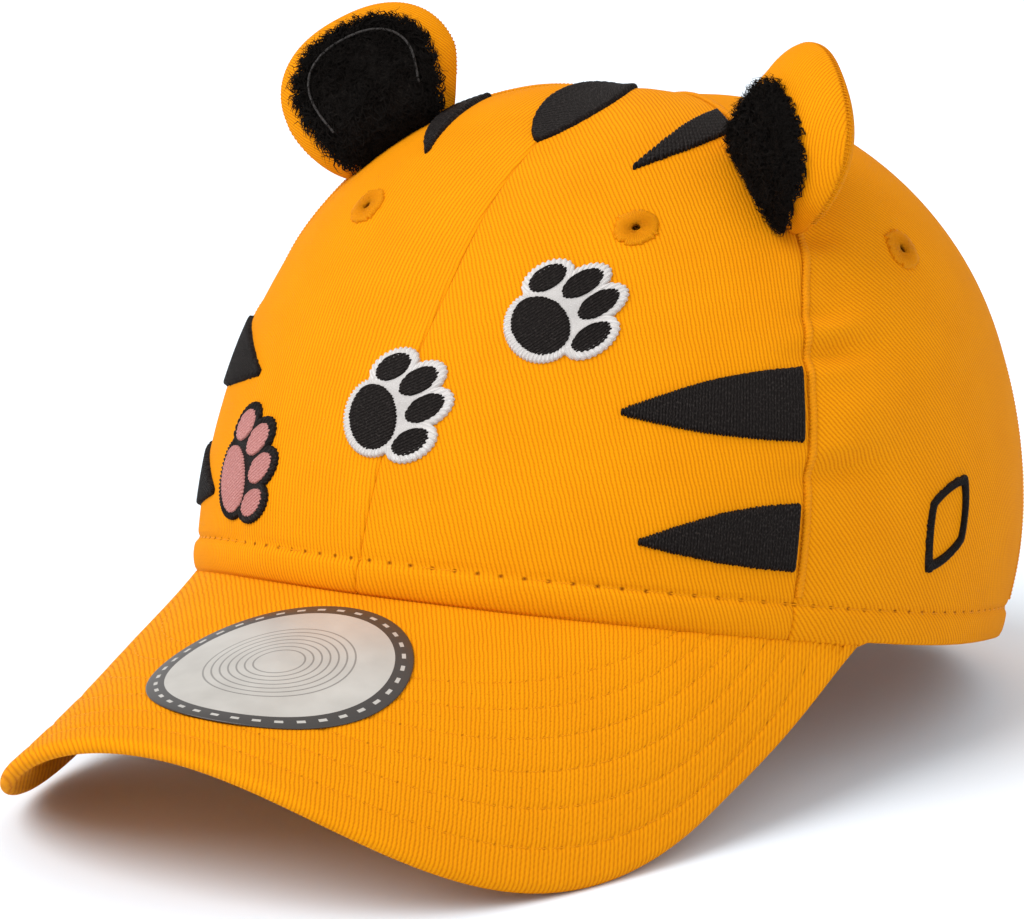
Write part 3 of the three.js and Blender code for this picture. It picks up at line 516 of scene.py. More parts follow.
def close_piece(piece, weld=1e-6, smooth=True):
    """Merges points that meet, turns the faces outwards and smooths the shading."""
    bpy.ops.object.select_all(action="DESELECT")
    bpy.context.view_layer.objects.active = piece
    piece.select_set(True)
    bpy.ops.object.mode_set(mode="EDIT")
    bpy.ops.mesh.select_all(action="SELECT")
    bpy.ops.mesh.remove_doubles(threshold=weld)
    bpy.ops.mesh.dissolve_degenerate(threshold=1e-7)
    bpy.ops.mesh.normals_make_consistent(inside=False)
    bpy.ops.object.mode_set(mode="OBJECT")
    if smooth:
        bpy.ops.object.shade_smooth()


def finish_piece(piece, material, slot, *nodes):
    """Gives a piece its material and sets it in the place of its nodes; the slot is not used."""
    piece.data.materials.clear()
    piece.data.materials.append(material)
    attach(piece, "root")
    if nodes:
        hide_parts(*nodes)


def hem_relief(length, turn):
    """Height of the turned hem: a puffed band below its row of stitches."""
    fuller = np.where(np.abs(wrapped(turn)) < SIDE_SEAM, 1.7, 0.9)
    puff = HEM_PUFF * fuller * np.sin(math.pi * np.clip(length / HEM_BAND, 0, 1)) ** 0.6
    crease = HEM_CREASE * np.exp(-(((length - HEM_BAND) / (0.7 * MM)) ** 2))
    return puff - crease


OPENING_UP = float(up_at(BACK_SEAM, OPENING_HEIGHT))


def opening_up(turn):
    """The share up of the opening's arch, 0 beside the opening."""
    share = np.clip((BACK_SEAM - np.abs(turn)) / OPENING_HALF_TURN, 0, 1)
    return OPENING_UP * np.sqrt(1 - share * share) * (share < 1)


def panel_columns(panel):
    """Shares across a panel, closer together at its seams and round the opening."""
    steps = np.linspace(0, 1, PANEL_COLUMNS)
    shares = steps - 0.82 * np.sin(2 * math.pi * steps) / (2 * math.pi)
    if max(abs(panel["from"]), abs(panel["to"])) == BACK_SEAM:
        solid = 1 - OPENING_HALF_TURN / (BACK_SEAM - REAR_SEAM)
        arch = 1 - (1 - solid) * np.cos(np.linspace(0, 1, 50) * math.pi / 2)
        near = np.linspace(0, 1, PANEL_COLUMNS - 50, endpoint=False) ** 1.3 * solid
        shares = np.concatenate([near, arch])
        if panel["to"] < 0:
            shares = 1 - shares[::-1]
    return np.concatenate([[0], shares, [1]])


INNER_ROWS = 44
FOLD_ROWS = 7
LOW_ROWS = 26
HIGH_ROWS = 96
LOW_SHARE = 0.075


def panel_rows():
    """Each row's share up and its fold: 0 on the outer face, 1 on the inner one."""
    inner = np.linspace(1, 0, INNER_ROWS)
    fold = np.linspace(1, 0, FOLD_ROWS)[1:-1]
    low = np.linspace(0, LOW_SHARE, LOW_ROWS)
    high = np.linspace(LOW_SHARE, 1, HIGH_ROWS)[1:]
    up = np.concatenate([inner, 0 * fold, low, high])
    turned = np.concatenate([0 * inner + 1, fold, 0 * low, 0 * high])
    return up, turned


def crown_panel(panel):
    """One panel, closed round its wall, with its hem, seams and the opening's edge."""
    shares = panel_columns(panel)
    rise, fold = panel_rows()
    piece, column, line = grid_piece(panel["name"] + "_cloth", len(shares), len(rise))
    middle_turn = shares * (panel["to"] - panel["from"]) + panel["from"]
    lowest = opening_up(middle_turn)
    up = lowest[column] + (1 - lowest[column]) * rise[line]
    start = seam_turn(panel["from"], up)
    turn = start + (seam_turn(panel["to"], up) - start) * shares[column]
    width = per_turn(turn, up) * np.abs(seam_turn(panel["to"], up) - start)
    away = np.minimum(shares[column], 1 - shares[column]) * width
    real_length = length_above_hem(turn, up)
    tuck = SEAM_CREASE * (1 - np.clip(away / SEAM_ROUND, 0, 1)) ** 2
    wall = (column == 0) | (column == len(shares) - 1)
    outer = np.where(lowest[column] > 0, 0, hem_relief(real_length, turn)) - tuck
    inner = -CLOTH_WALL + tuck
    half = CLOTH_WALL / 2
    outer = np.where(wall, -half, outer)
    inner = np.where(wall, -half, inner)
    turned = fold[line] * math.pi
    out = (outer + inner) / 2 + (outer - inner) / 2 * np.cos(turned)
    rounding = np.where(wall, 0, half * np.sin(turned))
    low = crown(turn, np.minimum(up + 0.01, 1))
    down = unit(crown(turn, up) - low)
    seated = HEM_SEAT * (1 - smoothstep(np.abs(turn), VISOR_CORNER, VISOR_CORNER + 2))
    lift = np.where((up < 0.03) | (lowest[column] > 0), (half - seated) * (1 - rise[line]) ** 60, 0)
    shape_piece(piece, crown(turn, up, out) + down * (rounding - lift)[:, None])
    across = (shares[column] - 0.5) * width
    lay_map(piece, "cloth", across * 1000, real_length * 1000)
    around = per_turn(panel["from"] + 0 * turn, 0 * up) * turn
    lay_map(piece, "rows", around * 1000, (real_length - HEM_BAND) * 1000)
    cut_eyelets(piece, turn, up)
    close_piece(piece, 2e-6)
    row = {"pitch": STITCH_PITCH / MM, "radius": 0.42, "depth": 1.0}
    material = twill_material(panel["name"] + " twill", panel["lean"], row)
    finish_piece(piece, material, "amber_twill", panel["name"])


TURN_TABLE = np.linspace(-180, 180, 361)
HEM_LENGTHS = np.concatenate(
    [
        np.zeros((1, len(TURN_TABLE))),
        np.cumsum(
            np.linalg.norm(
                np.diff(smooth_crown(TURN_TABLE[None, :], UP_TABLE[:, None]), axis=0), axis=-1
            ),
            axis=0,
        ),
    ]
)


def length_above_hem(turn, up):
    """Metres up the cloth from the hem, read between the lines of a table."""
    column = np.clip(wrapped(turn) + 180, 0, 359.999)
    row = np.clip(up, 0, 1) * (len(UP_TABLE) - 1)
    i, j = column.astype(int), np.minimum(row.astype(int), len(UP_TABLE) - 2)
    a, b = column - i, row - j
    low = HEM_LENGTHS[j, i] * (1 - a) + HEM_LENGTHS[j, i + 1] * a
    high = HEM_LENGTHS[j + 1, i] * (1 - a) + HEM_LENGTHS[j + 1, i + 1] * a
    return low * (1 - b) + high * b


def cut_eyelets(piece, turn, up):
    """Takes out the cloth inside each vent hole; the ring of stitches covers the cut."""
    holes = np.zeros(len(turn), bool)
    for row in EYELETS:
        for side in (1, -1):
            at = row["turn"] * side
            a = (turn - at) * per_turn(at, row["up"])
            b = (up - row["up"]) * per_up(at, row["up"])
            holes |= np.hypot(a, b) < EYELET_HOLE * 0.6
    if not holes.any():
        return
    bpy.ops.object.mode_set(mode="EDIT")
    bpy.ops.mesh.select_all(action="DESELECT")
    bpy.ops.object.mode_set(mode="OBJECT")
    piece.data.vertices.foreach_set("select", holes)
    bpy.ops.object.mode_set(mode="EDIT")
    bpy.ops.mesh.delete(type="VERT")
    bpy.ops.object.mode_set(mode="OBJECT")


for panel in PANELS:
    crown_panel(panel)

# Visor
# A stiff board covered above and below with twill, whose ribs run aslant. It is sewn
# under the hem and quilted with rows of stitches that follow its edge.
VISOR_REACH = 60.4 * MM
VISOR_HALF_WIDTH = 68.4 * MM
VISOR_THICKNESS = 3 * MM
VISOR_TUCK = 2.6 * MM
VISOR_FALL = 0.447
VISOR_SIDE_FALL = 0.645
VISOR_FALL_POWER = 2.2
VISOR_SQUARENESS = 2.39
VISOR_SKEW = 0.7 * MM
VISOR_PULL = 0.168
VISOR_COLUMNS = 181
VISOR_ROW_PITCH = 5.8 * MM
VISOR_ROW_COUNT = 6
VISOR_GROOVE = 0.22 * MM
VISOR_STITCH = 3.6 * MM
VISOR_LEAN = 36
LAYER_GAP = 0.36 * MM
CORNER_X = CROWN_WIDTH / 2 * math.sin(math.radians(VISOR_CORNER))
CORNER_REACH = CROWN_LENGTH / 2 * math.cos(math.radians(VISOR_CORNER))
VISOR_TIP = CROWN_LENGTH / 2 + VISOR_REACH


def visor_top(x, reach):
    """The visor's upper face over a plan place, laid out on the crown's hem."""
    angle = np.arcsin(np.clip(x, -CORNER_X, CORNER_X) / (CROWN_WIDTH / 2))
    past = np.maximum(reach - CROWN_LENGTH / 2 * np.cos(angle), 0)
    sideways = (np.abs(x) / VISOR_HALF_WIDTH) ** VISOR_FALL_POWER
    fall = VISOR_FALL + VISOR_SIDE_FALL * sideways
    degrees = np.degrees(angle)
    even = smoothstep(past, 0, VISOR_REACH * 0.4)
    near, far = hem_height(degrees), hem_height(np.abs(degrees))
    return np.stack([x, -reach, near + (far - near) * even - LAYER_GAP - fall * past], -1)


def visor_normal(x, reach):
    d = 0.5 * MM
    across = visor_top(x + d, reach) - visor_top(x - d, reach)
    back = visor_top(x, reach - d) - visor_top(x, reach + d)
    return unit(np.cross(across, back))


def visor_edge(u):
    """Plan places of the visor's rim, for u from -1 at one corner to 1 at the other."""
    angle = u * math.pi / 2
    power = 2 / VISOR_SQUARENESS
    across = np.sign(u) * VISOR_HALF_WIDTH * np.abs(np.sin(angle)) ** power
    pull = np.clip((np.abs(u) - 1 + VISOR_PULL) / VISOR_PULL, 0, 1) ** 2
    x = across + (np.sign(u) * CORNER_X - across) * pull + VISOR_SKEW * np.cos(angle)
    reach = CORNER_REACH + (VISOR_TIP - CORNER_REACH) * np.abs(np.cos(angle)) ** power
    return x, reach


def visor_place(u, inset):
    """Plan place on the visor: u across from corner to corner, inset back from the edge."""
    seam = smooth_crown(u * VISOR_CORNER, 0 * u)
    edge_x, edge_reach = visor_edge(u)
    span = np.hypot(edge_x - seam[..., 0], edge_reach + seam[..., 1])
    v = 1 - np.clip(inset / np.maximum(span, 1e-6), 0, 1)
    tuck = 1 + VISOR_TUCK / seam[..., 1] * (1 - v)
    x = seam[..., 0] * tuck
    reach = -seam[..., 1] * tuck
    return x + (edge_x - x) * v, reach + (edge_reach - reach) * v, span


def visor_cloth(x, reach):
    """Cloth coordinates in millimetres, evened out round the visor's bend."""
    steep = VISOR_SIDE_FALL * VISOR_FALL_POWER / VISOR_HALF_WIDTH
    past = np.maximum(reach - CROWN_LENGTH / 2, 0)
    slope = steep * past * (np.abs(x) / VISOR_HALF_WIDTH) ** (VISOR_FALL_POWER - 1)
    parts = [np.sqrt(1 + (slope * t) ** 2) for t in np.linspace(0.05, 0.95, 10)]
    return x * np.mean(parts, axis=0) * 1000, reach * math.hypot(1, VISOR_FALL) * 1000


def visor_groove(inset):
    """Depth of the shallow groove that each row of stitches pulls in the cover."""
    row = np.clip(np.rint(inset / VISOR_ROW_PITCH), 1, VISOR_ROW_COUNT)
    return VISOR_GROOVE * np.exp(-(((inset - row * VISOR_ROW_PITCH) / (0.55 * MM)) ** 2))


def visor_rows():
    """Each row's share in from the edge and its fold, from the root below to that above."""
    share = np.linspace(1, 0, 110) ** 1.15
    fold = np.linspace(1, 0, 11)[1:-1]
    shares = np.concatenate([[1], share, 0 * fold, share[::-1], [1]])
    folds = np.concatenate([[1], 0 * share + 1, fold, 0 * share, [0]])
    return shares, folds


def sewn_visor():
    """The covered board: over the top, round the rim and back below."""
    shares, fold = visor_rows()
    piece, column, line = grid_piece("visor_board", VISOR_COLUMNS, len(shares))
    u_line = np.linspace(-1, 1, VISOR_COLUMNS)
    u_line = u_line + 0.16 * np.sin(2 * math.pi * u_line) / (2 * math.pi)
    u = u_line[column]
    span = visor_place(u, 0 * u)[2]
    half = VISOR_THICKNESS / 2 * np.sqrt(1 - np.clip((np.abs(u) - 0.97) / 0.03, 0, 1) ** 2)
    rim = np.minimum(half, span * 0.45)
    inset = rim + (span - rim) * shares[line]
    turned = fold[line] * math.pi
    inset = inset - rim * np.sin(turned)
    x, reach, _ = visor_place(u, inset)
    groove = np.where(fold[line] == 0, visor_groove(inset), 0)
    groove = groove - np.where(fold[line] == 1, visor_groove(inset), 0)
    ends = (line == 0) | (line == len(shares) - 1)
    depth = np.where(ends, half, half - half * np.cos(turned) + groove)
    place = visor_top(x, reach) - visor_normal(x, reach) * depth[:, None]
    shape_piece(piece, stand(place))
    lay_map(piece, "cloth", *visor_cloth(x, reach))
    row = np.clip(np.rint(inset / VISOR_ROW_PITCH), 1, VISOR_ROW_COUNT)
    lay_map(piece, "rows", u * 150, (inset - row * VISOR_ROW_PITCH) * 1000)
    close_piece(piece, 2e-6)
    row = {"pitch": VISOR_STITCH / MM, "radius": 0.3, "depth": 0.5}
    twill = twill_material("visor twill", VISOR_LEAN, row)
    finish_piece(piece, twill, "amber_twill", "visor")


sewn_visor()

# Seams and rows of stitches
# Beside each join lies a corded edge of twisted yarn. Thread runs round the hem and over the
# visor, and dips through the cloth between one stitch and the next.
THREAD_RADIUS = 0.17 * MM
CORD_HALF_WIDTH = 0.78 * MM
CORD_RISE = 0.42 * MM
CORD_TWIST = 0.75 * MM
CORD_BESIDE = 0.9 * MM
STITCH_STEPS = 8
SEAM_LINES = [
    {"turn": SIDE_SEAM, "beside": 1, "from": 0.046},
    {"turn": -SIDE_SEAM, "beside": -1, "from": 0.046},
    {"turn": REAR_SEAM, "beside": 1, "from": 0.046},
    {"turn": -REAR_SEAM, "beside": -1, "from": 0.046},
    {"turn": BACK_SEAM, "beside": 1, "from": OPENING_UP + 0.05},
]
# Amber thread: the lighter colour is painted highlight on the floss's glints.
AMBER_THREAD_LIGHT = (0.8, 0.305, 0.0014, 1)
AMBER_THREAD_DARK = (0.69, 0.232, 0.001, 1)


def make_floss():
    """Twisted filaments over thread coordinates in millimetres, with painted glints: bright specks of
    painted highlight.
    """
    gives = {"Shade": "NodeSocketFloat", "Height": "NodeSocketFloat"}
    group, given, result = new_group("floss", {"Cloth": "NodeSocketVector"}, gives)
    place = add_node(group, "ShaderNodeSeparateXYZ", None, {0: given["Cloth"]}).outputs
    twisted = sum_node(group, "MULTIPLY_ADD", place[1], 0.45, place[0])
    filaments = wave(group, twisted, 0.21)
    stretched = add_node(
        group, "ShaderNodeMapping", None, {"Vector": given["Cloth"], "Scale": (4.5, 2.2, 1)}
    ).outputs[0]
    noise = add_node(
        group, "ShaderNodeTexNoise", None, {"Vector": stretched, "Scale": 1.0, "Detail": 3}
    ).outputs["Fac"]
    speck = add_node(
        group, "ShaderNodeMapRange", None, {"Value": noise, "From Min": 0.5, "From Max": 0.68}
    ).outputs[0]
    # Painted highlight: the specks, brightest along the filaments, lay the lighter colour on as glints
    # of gloss.
    lit = sum_node(group, "MULTIPLY", speck, sum_node(group, "MULTIPLY_ADD", filaments, 0.6, 0.4))
    group.links.new(lit, result["Shade"])
    group.links.new(sum_node(group, "MULTIPLY_ADD", speck, 0.6, filaments), result["Height"])
    return group


floss = make_floss()


def thread_material(name, light, dark, roughness=0.55):
    finish, tree, surface = blank_material(name)
    cloth = add_node(tree, "ShaderNodeUVMap", {"uv_map": "cloth"}).outputs[0]
    yarn = add_node(tree, "ShaderNodeGroup", {"node_tree": floss}, {"Cloth": cloth}).outputs
    # Painted highlight: the light colour shows only on the floss's glints; the dark one is the thread's
    # own colour.
    colour = add_node(
        tree, "ShaderNodeMix", {"data_type": "RGBA"}, {0: yarn["Shade"], 6: dark, 7: light}
    ).outputs[2]
    bump = add_node(
        tree,
        "ShaderNodeBump",
        None,
        {"Height": yarn["Height"], "Distance": 0.05 * MM, "Strength": 0.8},
    )
    thread = add_node(
        tree,
        "ShaderNodeBsdfPrincipled",
        None,
        {
            "Base Color": colour,
            "Roughness": roughness,
            "Specular IOR Level": 0.07,
            "Normal": bump.outputs[0],
        },
    )
    tree.links.new(thread.outputs[0], surface)
    return finish


def lofted(name, sections, cloth=None, weld=1e-6, smooth=True):
    """A closed piece through closed sections, with each end drawn in to its middle."""
    count, around = sections.shape[:2]
    piece, column, line = grid_piece(name, count + 2, around + 1)
    inner = np.clip(column - 1, 0, count - 1)
    places = sections[inner, line % around]
    ends = (column == 0) | (column == count + 1)
    places[ends] = sections.mean(axis=1)[inner[ends]]
    shape_piece(piece, places)
    if cloth is not None:
        lay_map(piece, "cloth", *np.moveaxis(cloth[inner, line % around], -1, 0))
    close_piece(piece, weld, smooth)
    return piece


def even_steps(path, normal, step):
    """The path and its normals again, at even steps along it."""
    gone = np.concatenate([[0], np.cumsum(np.linalg.norm(np.diff(path, axis=0), axis=-1))])
    at = np.linspace(0, gone[-1], max(int(gone[-1] / step), 2))

    def picked(values):
        return np.stack([np.interp(at, gone, values[:, k]) for k in range(3)], -1)

    return picked(path), unit(picked(normal)), at


def swept(name, path, normal, sideways, height, cloth=None):
    """A tube along a path, from each section's offsets to its side and along the normal."""
    ahead = unit(np.gradient(path, axis=0))
    side = unit(np.cross(normal, ahead))
    sections = path[:, None] + side[:, None] * sideways[..., None]
    return lofted(name, sections + normal[:, None] * height[..., None], cloth)


def join_pieces(name, pieces):
    """Several meshes made one piece."""
    bpy.ops.object.select_all(action="DESELECT")
    for piece in pieces:
        piece.select_set(True)
    bpy.context.view_layer.objects.active = pieces[0]
    bpy.ops.object.join()
    pieces[0].name = name
    pieces[0].data.name = name
    return pieces[0]


def tube_cloth(at, angle, radius):
    """Thread coordinates in millimetres: round the thread, then along it."""
    return np.stack(np.broadcast_arrays(angle[None] * radius * 1000, at[:, None] * 1000), -1)


def thread_run(name, path, normal, pitch, radius=THREAD_RADIUS, rise=0.32 * MM):
    """Running stitches as one thread that dives through the cloth at each needle hole."""
    path, normal, at = even_steps(path, normal, pitch / STITCH_STEPS)
    angle = np.linspace(0, 2 * math.pi, 6, endpoint=False)
    share = at / pitch % 1
    middle = -0.3 * MM + rise * np.sin(math.pi * share) ** 0.4
    ones = np.ones((len(at), 1))
    sideways = ones * np.cos(angle) * radius
    height = middle[:, None] + ones * np.sin(angle) * radius
    return swept(name, path, normal, sideways, height, tube_cloth(at, angle, radius))


def seam_cord(row):
    """One cord beside a seam, its section turning to show the twist of the yarn."""
    up = np.linspace(row["from"], 0.985, 500)
    turn = seam_turn(row["turn"], up)
    turn = turn + row["beside"] * CORD_BESIDE / per_turn(turn, np.minimum(up, 0.93))
    path, normal, at = even_steps(crown(turn, up), crown_normal(turn, up), CORD_TWIST / 5)
    angle = np.linspace(0, 2 * math.pi, 12, endpoint=False)
    phase = 2 * angle[None] - 2 * math.pi * row["beside"] * at[:, None] / CORD_TWIST
    swell = 1 + 0.16 * np.cos(phase)
    narrow = smoothstep(at[-1] - at, 0, 12 * MM)[:, None] * 0.6 + 0.4
    sideways = CORD_HALF_WIDTH * swell * np.cos(angle) * narrow
    height = CORD_RISE * swell * np.sin(angle) * narrow - 0.1 * MM
    name = f"seam_cord_{int(row['turn'] + 360) % 360}"
    return swept(name, path, normal, sideways, height, tube_cloth(at, angle, CORD_HALF_WIDTH))


amber_thread = thread_material("amber thread", AMBER_THREAD_LIGHT, AMBER_THREAD_DARK)
cords = join_pieces("seam_cords", [seam_cord(row) for row in SEAM_LINES])
finish_piece(cords, amber_thread, "amber_thread")


def hem_stitches():
    """The row of thread in the crease above the hem's puffed band."""
    half = BACK_SEAM - OPENING_HALF_TURN - 1.0
    turn = np.linspace(-half, half, 700)
    up = up_at(turn, HEM_BAND)
    path = crown(turn, up, hem_relief(HEM_BAND, turn))
    return thread_run("hem_stitches", path, crown_normal(turn, up), STITCH_PITCH)


finish_piece(hem_stitches(), amber_thread, "amber_thread")


def visor_stitch_row(row):
    u = np.linspace(-0.9, 0.9, 500)
    x, reach, _ = visor_place(u, row * VISOR_ROW_PITCH + 0 * u)
    normal = visor_normal(x, reach)
    path = visor_top(x, reach) - normal * VISOR_GROOVE
    normal = stand(normal) - CAP_SHIFT
    name = f"visor_row_{row}"
    return thread_run(name, stand(path), normal, VISOR_STITCH, 0.15 * MM, 0.26 * MM)


rows = [visor_stitch_row(row) for row in range(1, VISOR_ROW_COUNT + 1)]
finish_piece(join_pieces("visor_stitches", rows), amber_thread, "amber_thread")

# Ears
# Two stuffed ears of the same twill, sewn round the edge and into the side seams, gathered
# a little at the foot. Each has a patch of curly black fur on its front.
EAR_WIDTH = 36.5 * MM
EAR_HEIGHT = 27 * MM
EAR_BASE = 24 * MM
EAR_FRONT_BULGE = 8.1 * MM
EAR_BACK_BULGE = 5.6 * MM
EAR_MIDDLE = EAR_HEIGHT * 0.44
EAR_ROUNDNESS = 0.87
EAR_SINK = 0.7 * MM
EAR_COLUMNS = 260
EAR_RIB_PITCH = 0.58
GATHER_PITCH = 2.6 * MM
GATHER_DEPTH = 0.4 * MM
EDGE_GROOVE = 0.35 * MM
FUR_STRANDS = 3400
FUR_TUFTS = 260
FRINGE_SHARE = 0.36
FRINGE_LOCKS = 22
TUFT_LEAN = 0.45
STRAND_LENGTH = (1.7, 2.6)
STRAND_CURL = (0.5, 0.95)
STRAND_WINDING = (4.5, 10)
STRAND_RADIUS = 0.17 * MM
WHIP_TURNS = 88
WHIP_REACH = 0.22 * MM
WHIP_INSET = 0.42 * MM
WHIP_RADIUS = 0.13 * MM
EARS = [
    {"word": "left", "side": 1, "up": 0.613, "roll": -2.8, "back": 8, "twist": -10.5, "lean": 48},
    {"word": "right", "side": -1, "up": 0.645, "roll": 6, "back": 20, "twist": 1, "lean": -38},
]
# Each fur patch: the cloth left bare round it, how far it is set off, and whether its
# holding line shows
FURS = {
    "left": {"border": 6.6 * MM, "along": -2.6 * MM, "down": 1.4 * MM, "arch": False},
    "right": {"border": 4.8 * MM, "along": 0, "down": 0, "arch": True},
}
ARCH_SHARE = 0.8
ARCH_RISE = 1.95 * MM
# Black fur: the lighter colour is painted highlight on the floss's glints.
FUR_LIGHT = (0.024, 0.019, 0.016, 1)
FUR_DARK = (0.004, 0.003, 0.0025, 1)


def turned(x, y, angle):
    return x * np.cos(angle) - y * np.sin(angle), x * np.sin(angle) + y * np.cos(angle)


def ear_frame(row):
    """From an ear's own a (along the seam), n (outwards) and w (forwards) to its place."""
    side = row["side"]

    def seam_point(up):
        return crown(side * side_seam(up), up)

    at, step = row["up"], 0.02
    middle = seam_point(at)
    along = unit(seam_point(at + step) - seam_point(at - step))
    out = crown_normal(side * side_seam(at), at)
    out = unit(out - along * np.dot(out, along))
    forward = np.cross(out, along) * side
    length = float(per_up(side * SIDE_SEAM, at))

    def place(a, n, w):
        rooted = seam_point(at + a / length) - middle
        free = smoothstep(n, 0, EAR_HEIGHT * 0.5)
        sag = rooted @ out * (1 - free)
        x, y = turned(a, n, -np.radians(row["roll"]) * free)
        y, z = turned(y, w, -np.radians(row["back"]) * free)
        z, x = turned(z, x, -np.radians(row["twist"]) * free)
        y = y + sag
        return middle + x[..., None] * along + y[..., None] * out + z[..., None] * forward

    return place


def ear_reach(angle, border):
    """How far the ear's outline, shrunk by a border, lies from its middle at an angle."""
    half = EAR_WIDTH / 2 - border
    top = EAR_HEIGHT - border - EAR_MIDDLE
    foot = EAR_BASE / 2 - border * 0.5
    base = -EAR_SINK + border * 0.3
    round_angle = np.linspace(0, math.pi, 120)
    c, s = np.cos(round_angle), np.sin(round_angle)
    a = np.sign(c) * half * np.abs(c) ** EAR_ROUNDNESS
    n = EAR_MIDDLE + top * np.maximum(s, 0) ** EAR_ROUNDNESS
    t = np.linspace(0, 1, 30)[1:]
    flank_a = half + (foot - half) * t**1.5
    flank_n = EAR_MIDDLE + (base - EAR_MIDDLE) * t
    k = np.linspace(-1, 1, 40)[1:-1]
    a = np.concatenate([a, -flank_a, foot * k, flank_a[::-1]])
    n = np.concatenate([n, flank_n, base + 0 * k, flank_n[::-1]]) - EAR_MIDDLE
    order = np.argsort(np.arctan2(n, a))
    angles, reach = np.arctan2(n, a)[order], np.hypot(a, n)[order]
    return np.interp(angle, angles, reach, period=2 * math.pi)


def bulge(share):
    """How full the stuffing is, from 1 in the ear's middle to 0 at its edge."""
    return (1 - np.clip(share, 0, 1) ** 2.35) ** 0.67


def ear_body(row):
    """The ear's cover, from the middle of its front round the edge to that of its back."""
    place = ear_frame(row)
    angle = np.linspace(-math.pi, math.pi, EAR_COLUMNS, endpoint=False)
    t = np.linspace(0.03, 1, 60)
    share = np.sin(t * math.pi / 2)
    share = np.concatenate([share, share[-2::-1]])[:, None]
    face = np.concatenate([0 * t + 1, -1 + 0 * t[:-1]])[:, None]
    depth = np.where(face > 0, EAR_FRONT_BULGE, EAR_BACK_BULGE)
    w = face * depth * bulge(share)
    groove = EDGE_GROOVE * np.exp(-((w / (0.45 * MM)) ** 2))
    reach = ear_reach(angle, 0)[None] * share - groove
    a, n = reach * np.cos(angle), EAR_MIDDLE + reach * np.sin(angle)
    low = np.clip(1 - n / (9 * MM), 0, 1) ** 1.5
    low = low * smoothstep(share, 0.5, 0.9) * np.clip(bulge(share) * 2, 0, 1)
    w = w + GATHER_DEPTH * low * np.sin(2 * math.pi * a / GATHER_PITCH + row["side"])
    places = place(a, n, w)
    steps = np.linalg.norm(np.diff(places, axis=0), axis=-1)
    gone = np.concatenate([0 * angle[None], np.cumsum(steps, axis=0)])
    gone = np.where(face > 0, gone, gone[-1:] - gone)
    cloth = np.stack([gone * np.cos(angle), gone * np.sin(angle)], -1) * 1000
    name = f"ear_{row['word']}_cover"
    ear = lofted(name, places[::-1] if row["side"] > 0 else places, cloth)
    twill = twill_material(name + " twill", row["lean"], None, EAR_RIB_PITCH)
    finish_piece(ear, twill, "amber_twill", f"ear_{row['word']}")


def ear_edge_stitches(row):
    """Whip stitches over the ear's edge, wound round it as one thread."""
    place = ear_frame(row)
    wound = np.linspace(0, 1, 2400)
    angle = -0.35 + wound * (math.pi + 0.7)
    turns = 2 * math.pi * wound * WHIP_TURNS
    reach = ear_reach(angle, 0) + WHIP_REACH * np.sin(turns) - WHIP_INSET
    a, n = reach * np.cos(angle), EAR_MIDDLE + reach * np.sin(angle)
    path = place(a, n, 0.85 * MM * np.cos(turns))
    outwards = unit(place(a * 1.01, n, 0 * a) - place(a * 0.99, n, 0 * a))
    ring = np.linspace(0, 2 * math.pi, 5, endpoint=False)
    ones = np.ones((len(path), 1))
    sideways, height = ones * np.cos(ring) * WHIP_RADIUS, ones * np.sin(ring) * WHIP_RADIUS
    at = np.linspace(0, 1, len(path)) * 0.5
    cloth = tube_cloth(at, ring, WHIP_RADIUS)
    name = f"ear_{row['word']}_whip_stitches"
    finish_piece(swept(name, path, outwards, sideways, height, cloth), amber_thread, "amber_thread")


def fur_place(row, angle, share, rise):
    """Ear coordinates of a place on the fur patch, a height above the ear's front."""
    fur = FURS[row["word"]]
    reach = ear_reach(angle, fur["border"]) * share
    a, n = reach * np.cos(angle) + fur["along"], reach * np.sin(angle) - fur["down"]
    seat = EAR_FRONT_BULGE * bulge(np.hypot(a, n) / ear_reach(np.arctan2(n, a), 0))
    return a, EAR_MIDDLE + n, seat + rise


def fur_backing(row):
    """The thin cushion that the strands stand on."""
    place = ear_frame(row)
    angle = np.linspace(-math.pi, math.pi, 90, endpoint=False)
    share = np.array([0.04, 0.3, 0.6, 0.8, 0.92, 0.98, 0.92, 0.8, 0.6, 0.3, 0.04])[:, None]
    rise = np.array([1, 1, 1, 0.9, 0.6, 0.1, -0.4, -0.5, -0.5, -0.5, -0.5])[:, None] * MM
    places = place(*fur_place(row, angle[None], share, rise))
    cloth = np.stack(np.broadcast_arrays(angle[None] * 8, share * 12), -1)
    return lofted("backing", places[::-1] if row["side"] > 0 else places, cloth)


